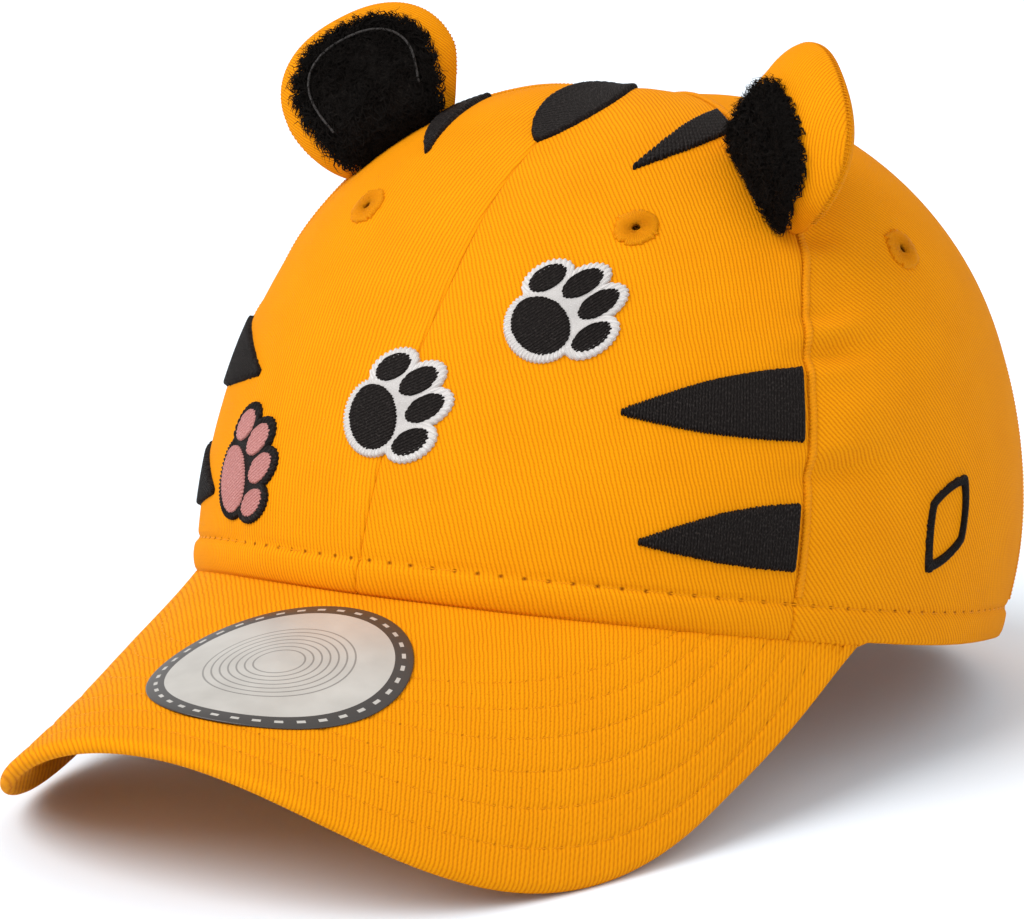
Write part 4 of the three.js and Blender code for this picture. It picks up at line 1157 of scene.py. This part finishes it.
def fur_strands(row):
    """Short curled strands in tufts, longer and leaning outwards round the patch's edge."""
    draw = np.random.default_rng(7 + row["side"])
    place = ear_frame(row)
    tuft_angle = draw.uniform(-math.pi, math.pi, FUR_TUFTS)
    tuft_share = np.sqrt(draw.uniform(0, 1.0, FUR_TUFTS))
    tuft_lean = draw.normal(0, TUFT_LEAN, (FUR_TUFTS, 2))
    own = draw.integers(0, FUR_TUFTS, FUR_STRANDS)
    fringe = np.arange(FUR_STRANDS) < FUR_STRANDS * FRINGE_SHARE
    angle = tuft_angle[own] + draw.normal(0, 0.07, FUR_STRANDS) / np.maximum(tuft_share[own], 0.2)
    share = np.clip(tuft_share[own] + draw.normal(0, 0.07, FUR_STRANDS), 0, 0.97)
    lock = draw.integers(0, FRINGE_LOCKS, FUR_STRANDS)
    lock_angle = (lock + 0.5) / FRINGE_LOCKS * 2 * math.pi + draw.normal(0, 0.06, FUR_STRANDS)
    angle = np.where(fringe, lock_angle, angle)
    share = np.where(fringe, draw.uniform(0.84, 1.0, FUR_STRANDS), share)
    a, n, w = fur_place(row, angle, share, 0.2 * MM)
    low = np.sin(angle) < -0.55
    length = draw.uniform(*STRAND_LENGTH, FUR_STRANDS) * MM * np.where(fringe & ~low, 1.15, 1.0)
    lean = tuft_lean[own] + 0.5 * np.stack([np.cos(angle), np.sin(angle)], -1) * share[:, None] ** 3
    outwards = np.stack([np.cos(angle), np.sin(angle)], -1)
    lean = np.where(fringe[:, None], outwards * np.where(low, 0.5, 1.5)[:, None], lean)
    lean = lean + draw.normal(0, 0.25, (FUR_STRANDS, 2))
    ahead = unit(np.concatenate([lean, np.ones((FUR_STRANDS, 1))], 1))
    bpy.ops.mesh.primitive_uv_sphere_add(segments=4, ring_count=6)
    strand = bpy.context.object
    shape = np.array([vertex.co[:] for vertex in strand.data.vertices])
    faces = [list(face.vertices) for face in strand.data.polygons]
    bpy.data.objects.remove(strand)
    t = (shape[:, 2] + 1) / 2
    side = unit(np.cross(ahead, draw.normal(0, 1, (FUR_STRANDS, 3))))
    other = np.cross(ahead, side)
    curl = draw.uniform(*STRAND_CURL, FUR_STRANDS)[:, None] * MM
    winding = t[None] * draw.uniform(*STRAND_WINDING, FUR_STRANDS)[:, None]
    thick = STRAND_RADIUS * (1.25 - t)[None]
    across = curl * (np.cos(winding) - 1) + shape[:, 0] * thick
    beyond = curl * np.sin(winding) + shape[:, 1] * thick
    root = np.stack([a, n, w], -1)[:, None]
    local = root + ahead[:, None] * (length[:, None] * t)[..., None]
    local = local + side[:, None] * across[..., None] + other[:, None] * beyond[..., None]
    places = place(*np.moveaxis(local, -1, 0))
    if row["side"] > 0:
        faces = [face[::-1] for face in faces]
    mesh = bpy.data.meshes.new("strands")
    every = [[i + k * len(shape) for i in face] for k in range(FUR_STRANDS) for face in faces]
    mesh.from_pydata(places.reshape(-1, 3).tolist(), [], every)
    piece = bpy.data.objects.new("strands", mesh)
    bpy.context.collection.objects.link(piece)
    lay_map(piece, "cloth", np.tile(t * 2, FUR_STRANDS), np.tile(shape[:, 0], FUR_STRANDS))
    return piece


def fur_arch(row):
    """The grey stitched line that holds the patch down, inside its fringe."""
    place = ear_frame(row)
    angle = np.linspace(-0.5, math.pi + 0.5, 300)

    def spot(rise):
        return place(*fur_place(row, angle, ARCH_SHARE + 0 * angle, rise))

    path = spot(ARCH_RISE)
    normal = unit(spot(3 * MM) - spot(1 * MM))
    name = f"ear_{row['word']}_fur_stitches"
    return thread_run(name, path, normal, 2.2 * MM, 0.24 * MM, 0.3 * MM)


fur_material = thread_material("black fur", FUR_LIGHT, FUR_DARK, 0.75)
# The grey thread's lighter colour is painted highlight on the floss's glints.
grey_thread = thread_material("grey thread", (0.1, 0.092, 0.09, 1), (0.035, 0.032, 0.03, 1))
for row in EARS:
    ear_body(row)
    ear_edge_stitches(row)
    fur = join_pieces(f"ear_{row['word']}_fur", [fur_backing(row), fur_strands(row)])
    finish_piece(fur, fur_material, "ear_fur", f"ear_fur_{row['word']}")
    if FURS[row["word"]]["arch"]:
        finish_piece(fur_arch(row), grey_thread, "black_thread")

# Embroidery
# Tiger stripes in rows of black thread, two black prints edged in white and a pink one
# edged in black, a plain leaf outline, and six vent holes worked round in amber.
THREAD_TOP = 1.05 * MM
CORD_PITCH = 0.62 * MM
CORD_STEPS = 8
STRIPE_TIP_HALF = 0.003
STRIPE_SEAM_GAP = 1.2 * MM
CENTRE_STRIPE_HALF_WIDTH = 6.4 * MM
SEAM_STRIPES = [
    {
        "name": "stripe_top", "turn": 31, "tip": 0.645,
        "low": 0.736, "high": 0.795, "bow": 0.018, "sag": 0.004,
    },
    {
        "name": "stripe_upper", "turn": 33.5, "tip": 0.298,
        "low": 0.233, "high": 0.321, "bow": 0.011, "sag": 0.006,
    },
    {
        "name": "stripe_lower", "turn": 37.5, "tip": 0.13,
        "low": 0.08, "high": 0.153, "bow": 0.012, "sag": 0.006,
    },
]
# Black, pink and white thread: each lighter colour is painted highlight on the floss's glints.
BLACK_LIGHT = (0.042, 0.035, 0.032, 1)
BLACK_DARK = (0.0075, 0.0055, 0.005, 1)
black_thread = thread_material("black thread", BLACK_LIGHT, BLACK_DARK, 0.5)
pink_thread = thread_material("pink thread", (0.66, 0.33, 0.31, 1), (0.42, 0.18, 0.165, 1), 0.5)
white_thread = thread_material("white thread", (0.72, 0.7, 0.69, 1), (0.52, 0.49, 0.47, 1), 0.5)


def worked_sheet(name, spot, wide, tall, rows=46, seed=1):
    """Rows of thread side by side: spot(s, k) gives turn and up for shares across and up."""
    draw = np.random.default_rng(seed)
    cords = max(int(wide / CORD_PITCH), 4)
    s = np.linspace(0, 1, cords * CORD_STEPS + 1)
    number = np.minimum((s * cords).astype(int), cords - 1)
    within = s * cords - number
    rounded = np.sqrt(np.clip(1 - (2 * within - 1) ** 2, 0, 1))
    tooth = (rounded - 0.6) * 0.42 * MM + draw.normal(0, 0.055, cords)[number] * MM
    k = np.linspace(0, 1, rows)
    shares = np.concatenate([k, k[::-1]])[None]
    upper = np.concatenate([0 * k + 1, 0 * k])[None]
    high = np.maximum(tall(s), 0.5 * MM)[:, None]
    y = shares * high
    edge = np.minimum(y, high - y)
    dome = np.sqrt(np.clip(1 - (1 - np.clip(edge / (0.7 * MM), 0, 1)) ** 2, 0, 1))
    grown = (shares * 2 - 1) * tooth[:, None]
    place_in_cord = (y / (1.15 * MM) + (number[:, None] % 3) / 3) % 1
    knit = np.sin(math.pi * place_in_cord) ** 0.6
    relief = 0.3 * MM * rounded[:, None] * (0.55 + 0.45 * knit)
    rise = np.where(upper > 0, (THREAD_TOP - 0.35 * MM) * dome + relief * dome, -0.35 * MM)
    turn, up = spot(s[:, None], shares + grown / np.maximum(high, 1e-6))
    places = crown(turn, up, rise)
    cloth = np.stack(np.broadcast_arrays(s[:, None] * wide * 1000, y * 1000), -1)
    return lofted(name, places, cloth, 1e-7)


def seam_stripe(row, side):
    """A stripe from its tip on the front panel to its wide end at the side seam."""

    def ends(t):
        bend = np.sin(math.pi * t)
        low = row["tip"] + (row["low"] - row["tip"]) * t - row["sag"] * bend - STRIPE_TIP_HALF
        high = row["tip"] + (row["high"] - row["tip"]) * t + row["bow"] * bend + STRIPE_TIP_HALF
        return low, high

    def spot(t, k):
        low, high = ends(t)
        end = side_seam((low + high) / 2) - STRIPE_SEAM_GAP / per_turn(SIDE_SEAM + 0 * t, high)
        return side * (row["turn"] + (end - row["turn"]) * t), low + (high - low) * k

    def tall(t):
        low, high = ends(t)
        return (high - low) * float(per_up(side * 45, (row["low"] + row["high"]) / 2))

    middle = (row["low"] + row["high"]) / 2
    wide = (SIDE_SEAM - row["turn"]) * float(per_turn(45, middle))
    word = "left" if side > 0 else "right"
    name, seed = f"{row['name']}_{word}_threads", int(row["turn"]) + side
    piece = worked_sheet(name, spot, wide, tall, seed=seed)
    finish_piece(piece, black_thread, "black_thread", f"{row['name']}_{word}")


for row in SEAM_STRIPES:
    seam_stripe(row, 1)
    seam_stripe(row, -1)


def centre_half(k):
    """Half the centre stripe's width in degrees, and its share up, from end to end."""
    up = 0.705 + (0.965 - 0.705) * k
    half = 0.4 * MM + CENTRE_STRIPE_HALF_WIDTH * np.sin(math.pi * np.clip(k, 0, 1) ** 0.85) ** 0.9
    return np.minimum(half / per_turn(0, np.minimum(up, 0.97)), 50), up


def centre_stripe():
    """Worked crosswise: its threads run over the front seam from side to side."""

    def spot(s, k):
        half, up = centre_half(s + 0 * k)
        return (2 * k - 1) * half, up

    def tall(s):
        half, up = centre_half(s)
        return 2 * half * per_turn(0, up)

    wide = 0.26 * float(per_up(0, 0.83))
    piece = worked_sheet("stripe_top_center_threads", spot, wide, tall, seed=5)
    finish_piece(piece, black_thread, "black_thread", "stripe_top_center")


centre_stripe()


def patch_place(centre, a, b):
    """Turn and up of a place a across and b up from a patch's centre, in metres."""
    up = centre["up"] + b / float(per_up(centre["turn"], centre["up"]))
    return centre["turn"] + a / per_turn(centre["turn"], up), up


PAW_SIZE = 25 * MM
PAW_BORDER = 1.3 * MM
PAWS = [
    {
        "name": "paw_print_low", "turn": -28, "up": 0.175, "lean": 50,
        "pads": pink_thread, "edge": black_thread,
    },
    {
        "name": "paw_print_middle", "turn": -1, "up": 0.3, "lean": 58,
        "pads": black_thread, "edge": white_thread,
    },
    {
        "name": "paw_print_high", "turn": 22, "up": 0.425, "lean": 52,
        "pads": black_thread, "edge": white_thread,
    },
]
PADS = [
    {"across": 0, "up": -0.13, "half_width": 0.27, "half_height": 0.2},
    {"across": -0.33, "up": 0.1, "half_width": 0.1, "half_height": 0.15},
    {"across": -0.12, "up": 0.27, "half_width": 0.1, "half_height": 0.16},
    {"across": 0.12, "up": 0.27, "half_width": 0.1, "half_height": 0.16},
    {"across": 0.33, "up": 0.1, "half_width": 0.1, "half_height": 0.15},
]


def pad_reach(pad, angle, border):
    """From the print's middle to the far side of one oval pad, along a ray."""
    half_width = pad["half_width"] * PAW_SIZE + border
    half_height = pad["half_height"] * PAW_SIZE + border
    dx, dy = np.cos(angle) / half_width, np.sin(angle) / half_height
    cx, cy = pad["across"] * PAW_SIZE / half_width, pad["up"] * PAW_SIZE / half_height
    b, a = dx * cx + dy * cy, dx * dx + dy * dy
    inside = b * b - a * (cx * cx + cy * cy - 1)
    return np.where(inside > 0, (b + np.sqrt(np.maximum(inside, 0))) / a, 0)


# The stitched edge from the middle out and back beneath: share of the reach, height in mm
EDGE_SECTION = [
    (0.03, 0.5), (0.3, 0.5), (0.6, 0.5), (0.8, 0.62), (0.88, 0.75), (0.93, 0.8), (0.97, 0.7),
    (0.99, 0.5), (1, 0.1), (0.99, -0.35), (0.8, -0.35), (0.3, -0.35), (0.03, -0.35),
]


def paw_backing(paw):
    """The stitched ground and edge round all five pads of a print."""
    angle = np.linspace(0, 2 * math.pi, 480, endpoint=False)
    reach = np.max([pad_reach(pad, angle, PAW_BORDER) for pad in PADS], axis=0)
    share, rise = (np.array(values)[:, None] for values in zip(*EDGE_SECTION))
    ridge = 1 + 0.16 * np.sin(angle * 75) * (share > 0.7)
    lean = angle - math.radians(paw["lean"])
    length = reach[None] * share * (1 + 0.012 * np.sin(angle * 75))
    turn, up = patch_place(paw, np.cos(lean) * length, np.sin(lean) * length)
    places = crown(turn, up, np.where(rise > 0, rise * ridge, rise) * MM)
    cloth = np.stack(np.broadcast_arrays(angle[None] * 9, length * 1000), -1)
    piece = lofted(paw["name"] + "_edge", places[::-1], cloth)
    finish_piece(piece, paw["edge"], "black_thread", paw["name"])


def paw_pad(paw, pad, number):
    """One oval pad worked in rows of thread."""
    lean = math.radians(-paw["lean"])
    half_width, half_height = pad["half_width"] * PAW_SIZE, pad["half_height"] * PAW_SIZE

    def spot(s, k):
        x = (2 * s - 1) * half_width
        y = (2 * k - 1) * half_height * np.sqrt(np.clip(1 - (2 * s - 1) ** 2, 0.02, 1))
        a, b = turned(x + pad["across"] * PAW_SIZE, y + pad["up"] * PAW_SIZE, lean)
        return patch_place(paw, a, b)

    def tall(s):
        return 2 * half_height * np.sqrt(np.clip(1 - (2 * s - 1) ** 2, 0.02, 1))

    name = f"{paw['name']}_pad_{number}"
    return worked_sheet(name, spot, 2 * half_width, tall, 30, number)


for paw in PAWS:
    paw_backing(paw)
    pads = [paw_pad(paw, pad, number) for number, pad in enumerate(PADS)]
    slot = "pink_thread" if paw["pads"] == pink_thread else "black_thread"
    finish_piece(join_pieces(paw["name"] + "_pads", pads), paw["pads"], slot)


def satin_ring(name, centre, outline, inline, stitches, top):
    """A ring of stitches laid across a closed line."""
    angle = np.linspace(0, 2 * math.pi, stitches * 6, endpoint=False)
    within = (np.arange(len(angle)) % 6) / 6
    cord = np.sin(math.pi * within)
    section = np.linspace(0, 2 * math.pi, 14, endpoint=False)[:, None]
    share = 0.5 - 0.5 * np.cos(section)
    ragged = 1 + np.repeat(np.random.default_rng(stitches).normal(0, 0.05, stitches), 6) * (share > 0.9)
    length = inline(angle) + (outline(angle) - inline(angle)) * share * ragged
    rise = np.where(np.sin(section) > 0, top * np.sin(section) ** 0.7 * (0.82 + 0.18 * cord), -0.3 * MM)
    turn, up = patch_place(centre, np.cos(angle) * length, np.sin(angle) * length)
    places = np.swapaxes(crown(turn, up, rise), 0, 1)
    cloth = np.stack(np.broadcast_arrays(angle[None] * stitches / 6, share * 3), -1)
    cloth = np.swapaxes(cloth, 0, 1)
    piece, column, line = grid_piece(name, len(angle) + 1, len(section) + 1)
    shape_piece(piece, places[column % len(angle), line % len(section)])
    lay_map(piece, "cloth", *np.moveaxis(cloth[column % len(angle), line % len(section)], -1, 0))
    close_piece(piece)
    return piece


EYELET_STITCHES = 52
EYELET_TOP = 0.75 * MM


def eyelet_outside(angle):
    return EYELET_RADIUS + 0 * angle


def eyelet_inside(angle):
    return EYELET_HOLE * 0.65 + 0 * angle


for row in EYELETS:
    for word, side in (("left", 1), ("right", -1)):
        centre = {"turn": row["turn"] * side, "up": row["up"]}
        name = f"{row['name']}_{word}_stitches"
        ring = satin_ring(name, centre, eyelet_outside, eyelet_inside, EYELET_STITCHES, EYELET_TOP)
        finish_piece(ring, amber_thread, "amber_thread", f"{row['name']}_{word}")

LEAF = {"turn": 84.5, "up": 0.117, "lean": 58}
LEAF_LENGTH = 21 * MM
LEAF_WIDTH = 14 * MM
LEAF_LINE = 1.7 * MM
LEAF_POINT = 1.25
LEAF_STITCHES = 110
LEAF_TOP = 0.95 * MM


def leaf_outline(angle, shrink=0):
    """A pointed oval, shrunk all round, as a reach at each angle."""
    along = np.abs(np.cos(angle - math.radians(LEAF["lean"])))
    length = LEAF_LENGTH / 2 - shrink * LEAF_LENGTH / LEAF_WIDTH
    width = LEAF_WIDTH / 2 - shrink
    sideways = np.sqrt(np.maximum(1 - along * along, 0))
    far = (along / length) ** LEAF_POINT + (sideways / width) ** LEAF_POINT
    return 1 / far ** (1 / LEAF_POINT)


def leaf_inline(angle):
    return leaf_outline(angle, LEAF_LINE)


name = "leaf_left_stitches"
leaf = satin_ring(name, LEAF, leaf_outline, leaf_inline, LEAF_STITCHES, LEAF_TOP)
finish_piece(leaf, black_thread, "black_thread", "leaf_left")

# Sticker
# A round film sticker on the visor: silver, with a plain dotted dark ring near its rim and
# fine circles in the middle.
STICKER_WIDTH = 45.4 * MM
STICKER_LENGTH = 48 * MM
STICKER_SETBACK = 33 * MM
STICKER_ASIDE = 3.8 * MM
STICKER_THICKNESS = 0.35 * MM
CHARCOAL = (0.05, 0.045, 0.042, 1)
SILVER_DARK = (0.38, 0.36, 0.33, 1)
SILVER_LIGHT = (0.62, 0.6, 0.56, 1)
RING_DOTS = 36
# The film from its middle out and back beneath: share of the radius, share of the thickness
FILM_SECTION = [
    (0.03, 1), (0.25, 1), (0.5, 1), (0.75, 1), (0.9, 1), (0.99, 1), (1, 0.8), (1, 0.2),
    (0.99, 0), (0.9, 0), (0.75, 0), (0.5, 0), (0.25, 0), (0.03, 0),
]


def between(tree, value, low, high):
    """1 where a value lies between two limits, else 0."""
    above = sum_node(tree, "GREATER_THAN", value, low)
    return sum_node(tree, "MULTIPLY", above, sum_node(tree, "LESS_THAN", value, high))


def sticker_material():
    finish, tree, surface = blank_material("sticker film")
    disc = add_node(tree, "ShaderNodeUVMap", {"uv_map": "cloth"}).outputs[0]
    place = add_node(tree, "ShaderNodeSeparateXYZ", None, {0: disc}).outputs
    radius = add_node(tree, "ShaderNodeVectorMath", {"operation": "LENGTH"}, {0: disc}).outputs[1]
    angle = sum_node(tree, "ARCTAN2", place[1], place[0])
    step = sum_node(tree, "FRACT", sum_node(tree, "MULTIPLY", angle, RING_DOTS / (2 * math.pi)))
    near = sum_node(tree, "ABSOLUTE", sum_node(tree, "SUBTRACT", step, 0.5))
    dash = sum_node(tree, "LESS_THAN", near, 0.2)
    dots = sum_node(tree, "MULTIPLY", dash, between(tree, radius, 0.91, 0.94))
    ring = sum_node(tree, "SUBTRACT", between(tree, radius, 0.86, 1.1), dots)
    lines = between(tree, sum_node(tree, "FRACT", sum_node(tree, "MULTIPLY", radius, 16)), 0.0, 0.22)
    middle = sum_node(tree, "MULTIPLY", lines, between(tree, radius, 0.18, 0.62))
    dark = sum_node(tree, "MAXIMUM", ring, sum_node(tree, "MULTIPLY", middle, 0.55))
    cloud = add_node(
        tree, "ShaderNodeTexNoise", None, {"Vector": disc, "Scale": 2.2, "Detail": 3}
    ).outputs["Fac"]
    silver = add_node(
        tree, "ShaderNodeMix", {"data_type": "RGBA"}, {0: cloud, 6: SILVER_DARK, 7: SILVER_LIGHT}
    ).outputs[2]
    colour = add_node(
        tree, "ShaderNodeMix", {"data_type": "RGBA"}, {0: dark, 6: silver, 7: CHARCOAL}
    ).outputs[2]
    film = add_node(
        tree,
        "ShaderNodeBsdfPrincipled",
        None,
        {"Base Color": colour, "Roughness": 0.32, "Metallic": 0.35},
    )
    tree.links.new(film.outputs[0], surface)
    return finish


def visor_sticker():
    """A thin disc laid on the visor and sunk point by point to its curve."""
    centre = visor_top(np.array([STICKER_ASIDE]), np.array([VISOR_TIP - STICKER_SETBACK]))[0]
    normal = visor_normal(np.array([centre[0]]), np.array([-centre[1]]))[0]
    upward = unit(np.cross(normal, [1, 0, 0]))
    across = np.cross(upward, normal)
    angle = np.linspace(0, 2 * math.pi, 180, endpoint=False)
    share, rise = (np.array(values)[:, None] for values in zip(*FILM_SECTION))
    rise = rise * STICKER_THICKNESS
    wide = np.cos(angle) * STICKER_WIDTH / 2 * share
    long = np.sin(angle) * STICKER_LENGTH / 2 * share
    point = centre + wide[..., None] * across + long[..., None] * upward
    for _ in range(8):
        drop = visor_top(point[..., 0], -point[..., 1])[..., 2] - point[..., 2]
        point = point + normal * drop[..., None]
    out = visor_normal(point[..., 0], -point[..., 1])
    places = stand(point + out * (rise + 0.05 * MM)[..., None])
    cloth = np.stack(np.broadcast_arrays(np.cos(angle) * share, np.sin(angle) * share), -1)
    piece = lofted("visor_sticker_film", places[::-1], cloth[::-1])
    finish_piece(piece, sticker_material(), "sticker_film", "visor_sticker")


visor_sticker()

# Sweatband, strap and binding
# Inside the hem runs a plain band of twill. The two ends of the strap lap across the back
# opening, whose arch is bound with tape.
STRAP_WIDTH = 17 * MM
STRAP_THICKNESS = 1.5 * MM
STRAP_TUCK = 9
STRAP_LAP = 12
STRAP_MARGIN = 2.2 * MM
BINDING_WIDTH = 5 * MM
BINDING_SETBACK = 0.5 * MM
TRIM_THICKNESS = 0.8 * MM
BAND_WIDTH = 27 * MM
BAND_THICKNESS = 1 * MM
LINING_GAP = 0.72 * MM
BAND_END = BACK_SEAM - OPENING_HALF_TURN - STRAP_TUCK
BAND_OUT = -(CLOTH_WALL + LINING_GAP)


def cloth_strip(name, turn, foot, head, out, thickness, rows=14):
    """A strip round the crown between two lengths above the hem, with rolled edges."""
    k = np.linspace(0, 1, rows)
    shares = np.concatenate([k, k[::-1]])[None]
    outer = np.concatenate([0 * k + 1, 0 * k - 1])[None]
    low, high = up_at(turn, foot)[:, None], up_at(turn, head)[:, None]
    rolled = (1 - np.abs(2 * shares - 1) ** 14) * 0.5 * thickness
    up = low + (high - low) * shares
    rise = out(turn)[:, None] - thickness / 2 + outer * rolled
    places = crown(turn[:, None] + 0 * up, up, rise)
    around = turn * float(per_turn(150, 0))
    tall = foot + (head - foot) * shares
    cloth = np.stack(np.broadcast_arrays(around[:, None] * 1000, tall * 1000), -1)
    return lofted(name, places, cloth)


def strip_stitches(name, turn, length, out):
    """A row of thread along a strip, a length above the hem."""
    up = up_at(turn, length)
    return thread_run(name, crown(turn, up, out(turn)), crown_normal(turn, up), 3.2 * MM)


def band_lift(turn):
    return BAND_OUT + 0 * turn


def sweatband():
    """A band inside the crown from one side of the opening to the other."""
    turn = np.linspace(-BAND_END, BAND_END, 240) * (1 - 1 / BAND_END)
    band = cloth_strip("sweatband_strip", turn, LAYER_GAP, BAND_WIDTH, band_lift, BAND_THICKNESS)
    finish_piece(band, twill_material("sweatband twill", -30), "sweatband_twill", "sweatband")


def strap_lift(turn):
    """The right end laps over the left one, then sinks inside the crown."""
    opened = BACK_SEAM + OPENING_HALF_TURN
    share = 1 - smoothstep(turn, BACK_SEAM + STRAP_LAP + 1, opened - 2)
    return BAND_OUT + (STRAP_THICKNESS + LAYER_GAP) * share


def straps():
    """Both ends of the strap, each with two rows of thread."""
    strap_twill = twill_material("strap twill", -62)
    rows = [
        ("left", BAND_END, BACK_SEAM + STRAP_LAP, band_lift),
        ("right", BACK_SEAM - STRAP_LAP, 2 * BACK_SEAM - BAND_END, strap_lift),
    ]
    for word, start, end, lift in rows:
        turn = np.linspace(start, end, 140)
        name = f"strap_{word}_webbing"
        strap = cloth_strip(name, turn, 0.2 * MM, STRAP_WIDTH, lift, STRAP_THICKNESS)
        finish_piece(strap, strap_twill, "amber_twill", f"strap_{word}")
        lengths = (STRAP_MARGIN, STRAP_WIDTH - STRAP_MARGIN)
        runs = [strip_stitches("run", turn[4:-4], length, lift) for length in lengths]
        finish_piece(join_pieces(f"strap_{word}_stitches", runs), amber_thread, "amber_thread")


def binding_spot(angle, away):
    """Turn and up on the arch of the opening, a distance away from its edge."""
    wide = away / float(per_turn(BACK_SEAM, OPENING_UP / 2))
    tall = away / float(per_up(BACK_SEAM, OPENING_UP))
    turn = BACK_SEAM - (OPENING_HALF_TURN + wide) * np.cos(angle)
    return turn, (OPENING_UP + tall) * np.sin(angle)


def binding():
    """Tape over the arch from strap to strap, with a row of thread along each side."""
    foot = math.asin(float(up_at(BACK_SEAM, STRAP_WIDTH)) / OPENING_UP)
    angle = np.linspace(foot, math.pi - foot, 160)[:, None]
    k = np.linspace(0, 1, 12)
    shares = np.concatenate([k, k[::-1]])[None]
    outer = np.concatenate([0 * k + 1, 0 * k])[None]
    rolled = np.sqrt(np.clip(1 - np.abs(2 * shares - 1) ** 6, 0, 1))
    away = -BINDING_SETBACK + (BINDING_WIDTH + 2 * BINDING_SETBACK) * shares
    turn, up = binding_spot(angle, away)
    places = crown(turn, up, outer * rolled * (TRIM_THICKNESS + 0.2 * MM) - 0.1 * MM)
    cloth = np.stack(np.broadcast_arrays(angle * 40, away * 1000), -1)
    tape = lofted("opening_binding_tape", places[:, ::-1], cloth[:, ::-1])
    finish_piece(tape, twill_material("binding twill", -45), "amber_twill", "opening_binding")
    runs = []
    for away in (1.0 * MM, BINDING_WIDTH - 0.6 * MM):
        line = np.linspace(foot + 0.05, math.pi - foot - 0.05, 300)
        turn, up = binding_spot(line, away)
        path = crown(turn, up, TRIM_THICKNESS + 0.1 * MM)
        runs.append(thread_run("run", path, crown_normal(turn, up), 3.0 * MM))
    finish_piece(join_pieces("opening_binding_stitches", runs), amber_thread, "amber_thread")


sweatband()
straps()
binding()
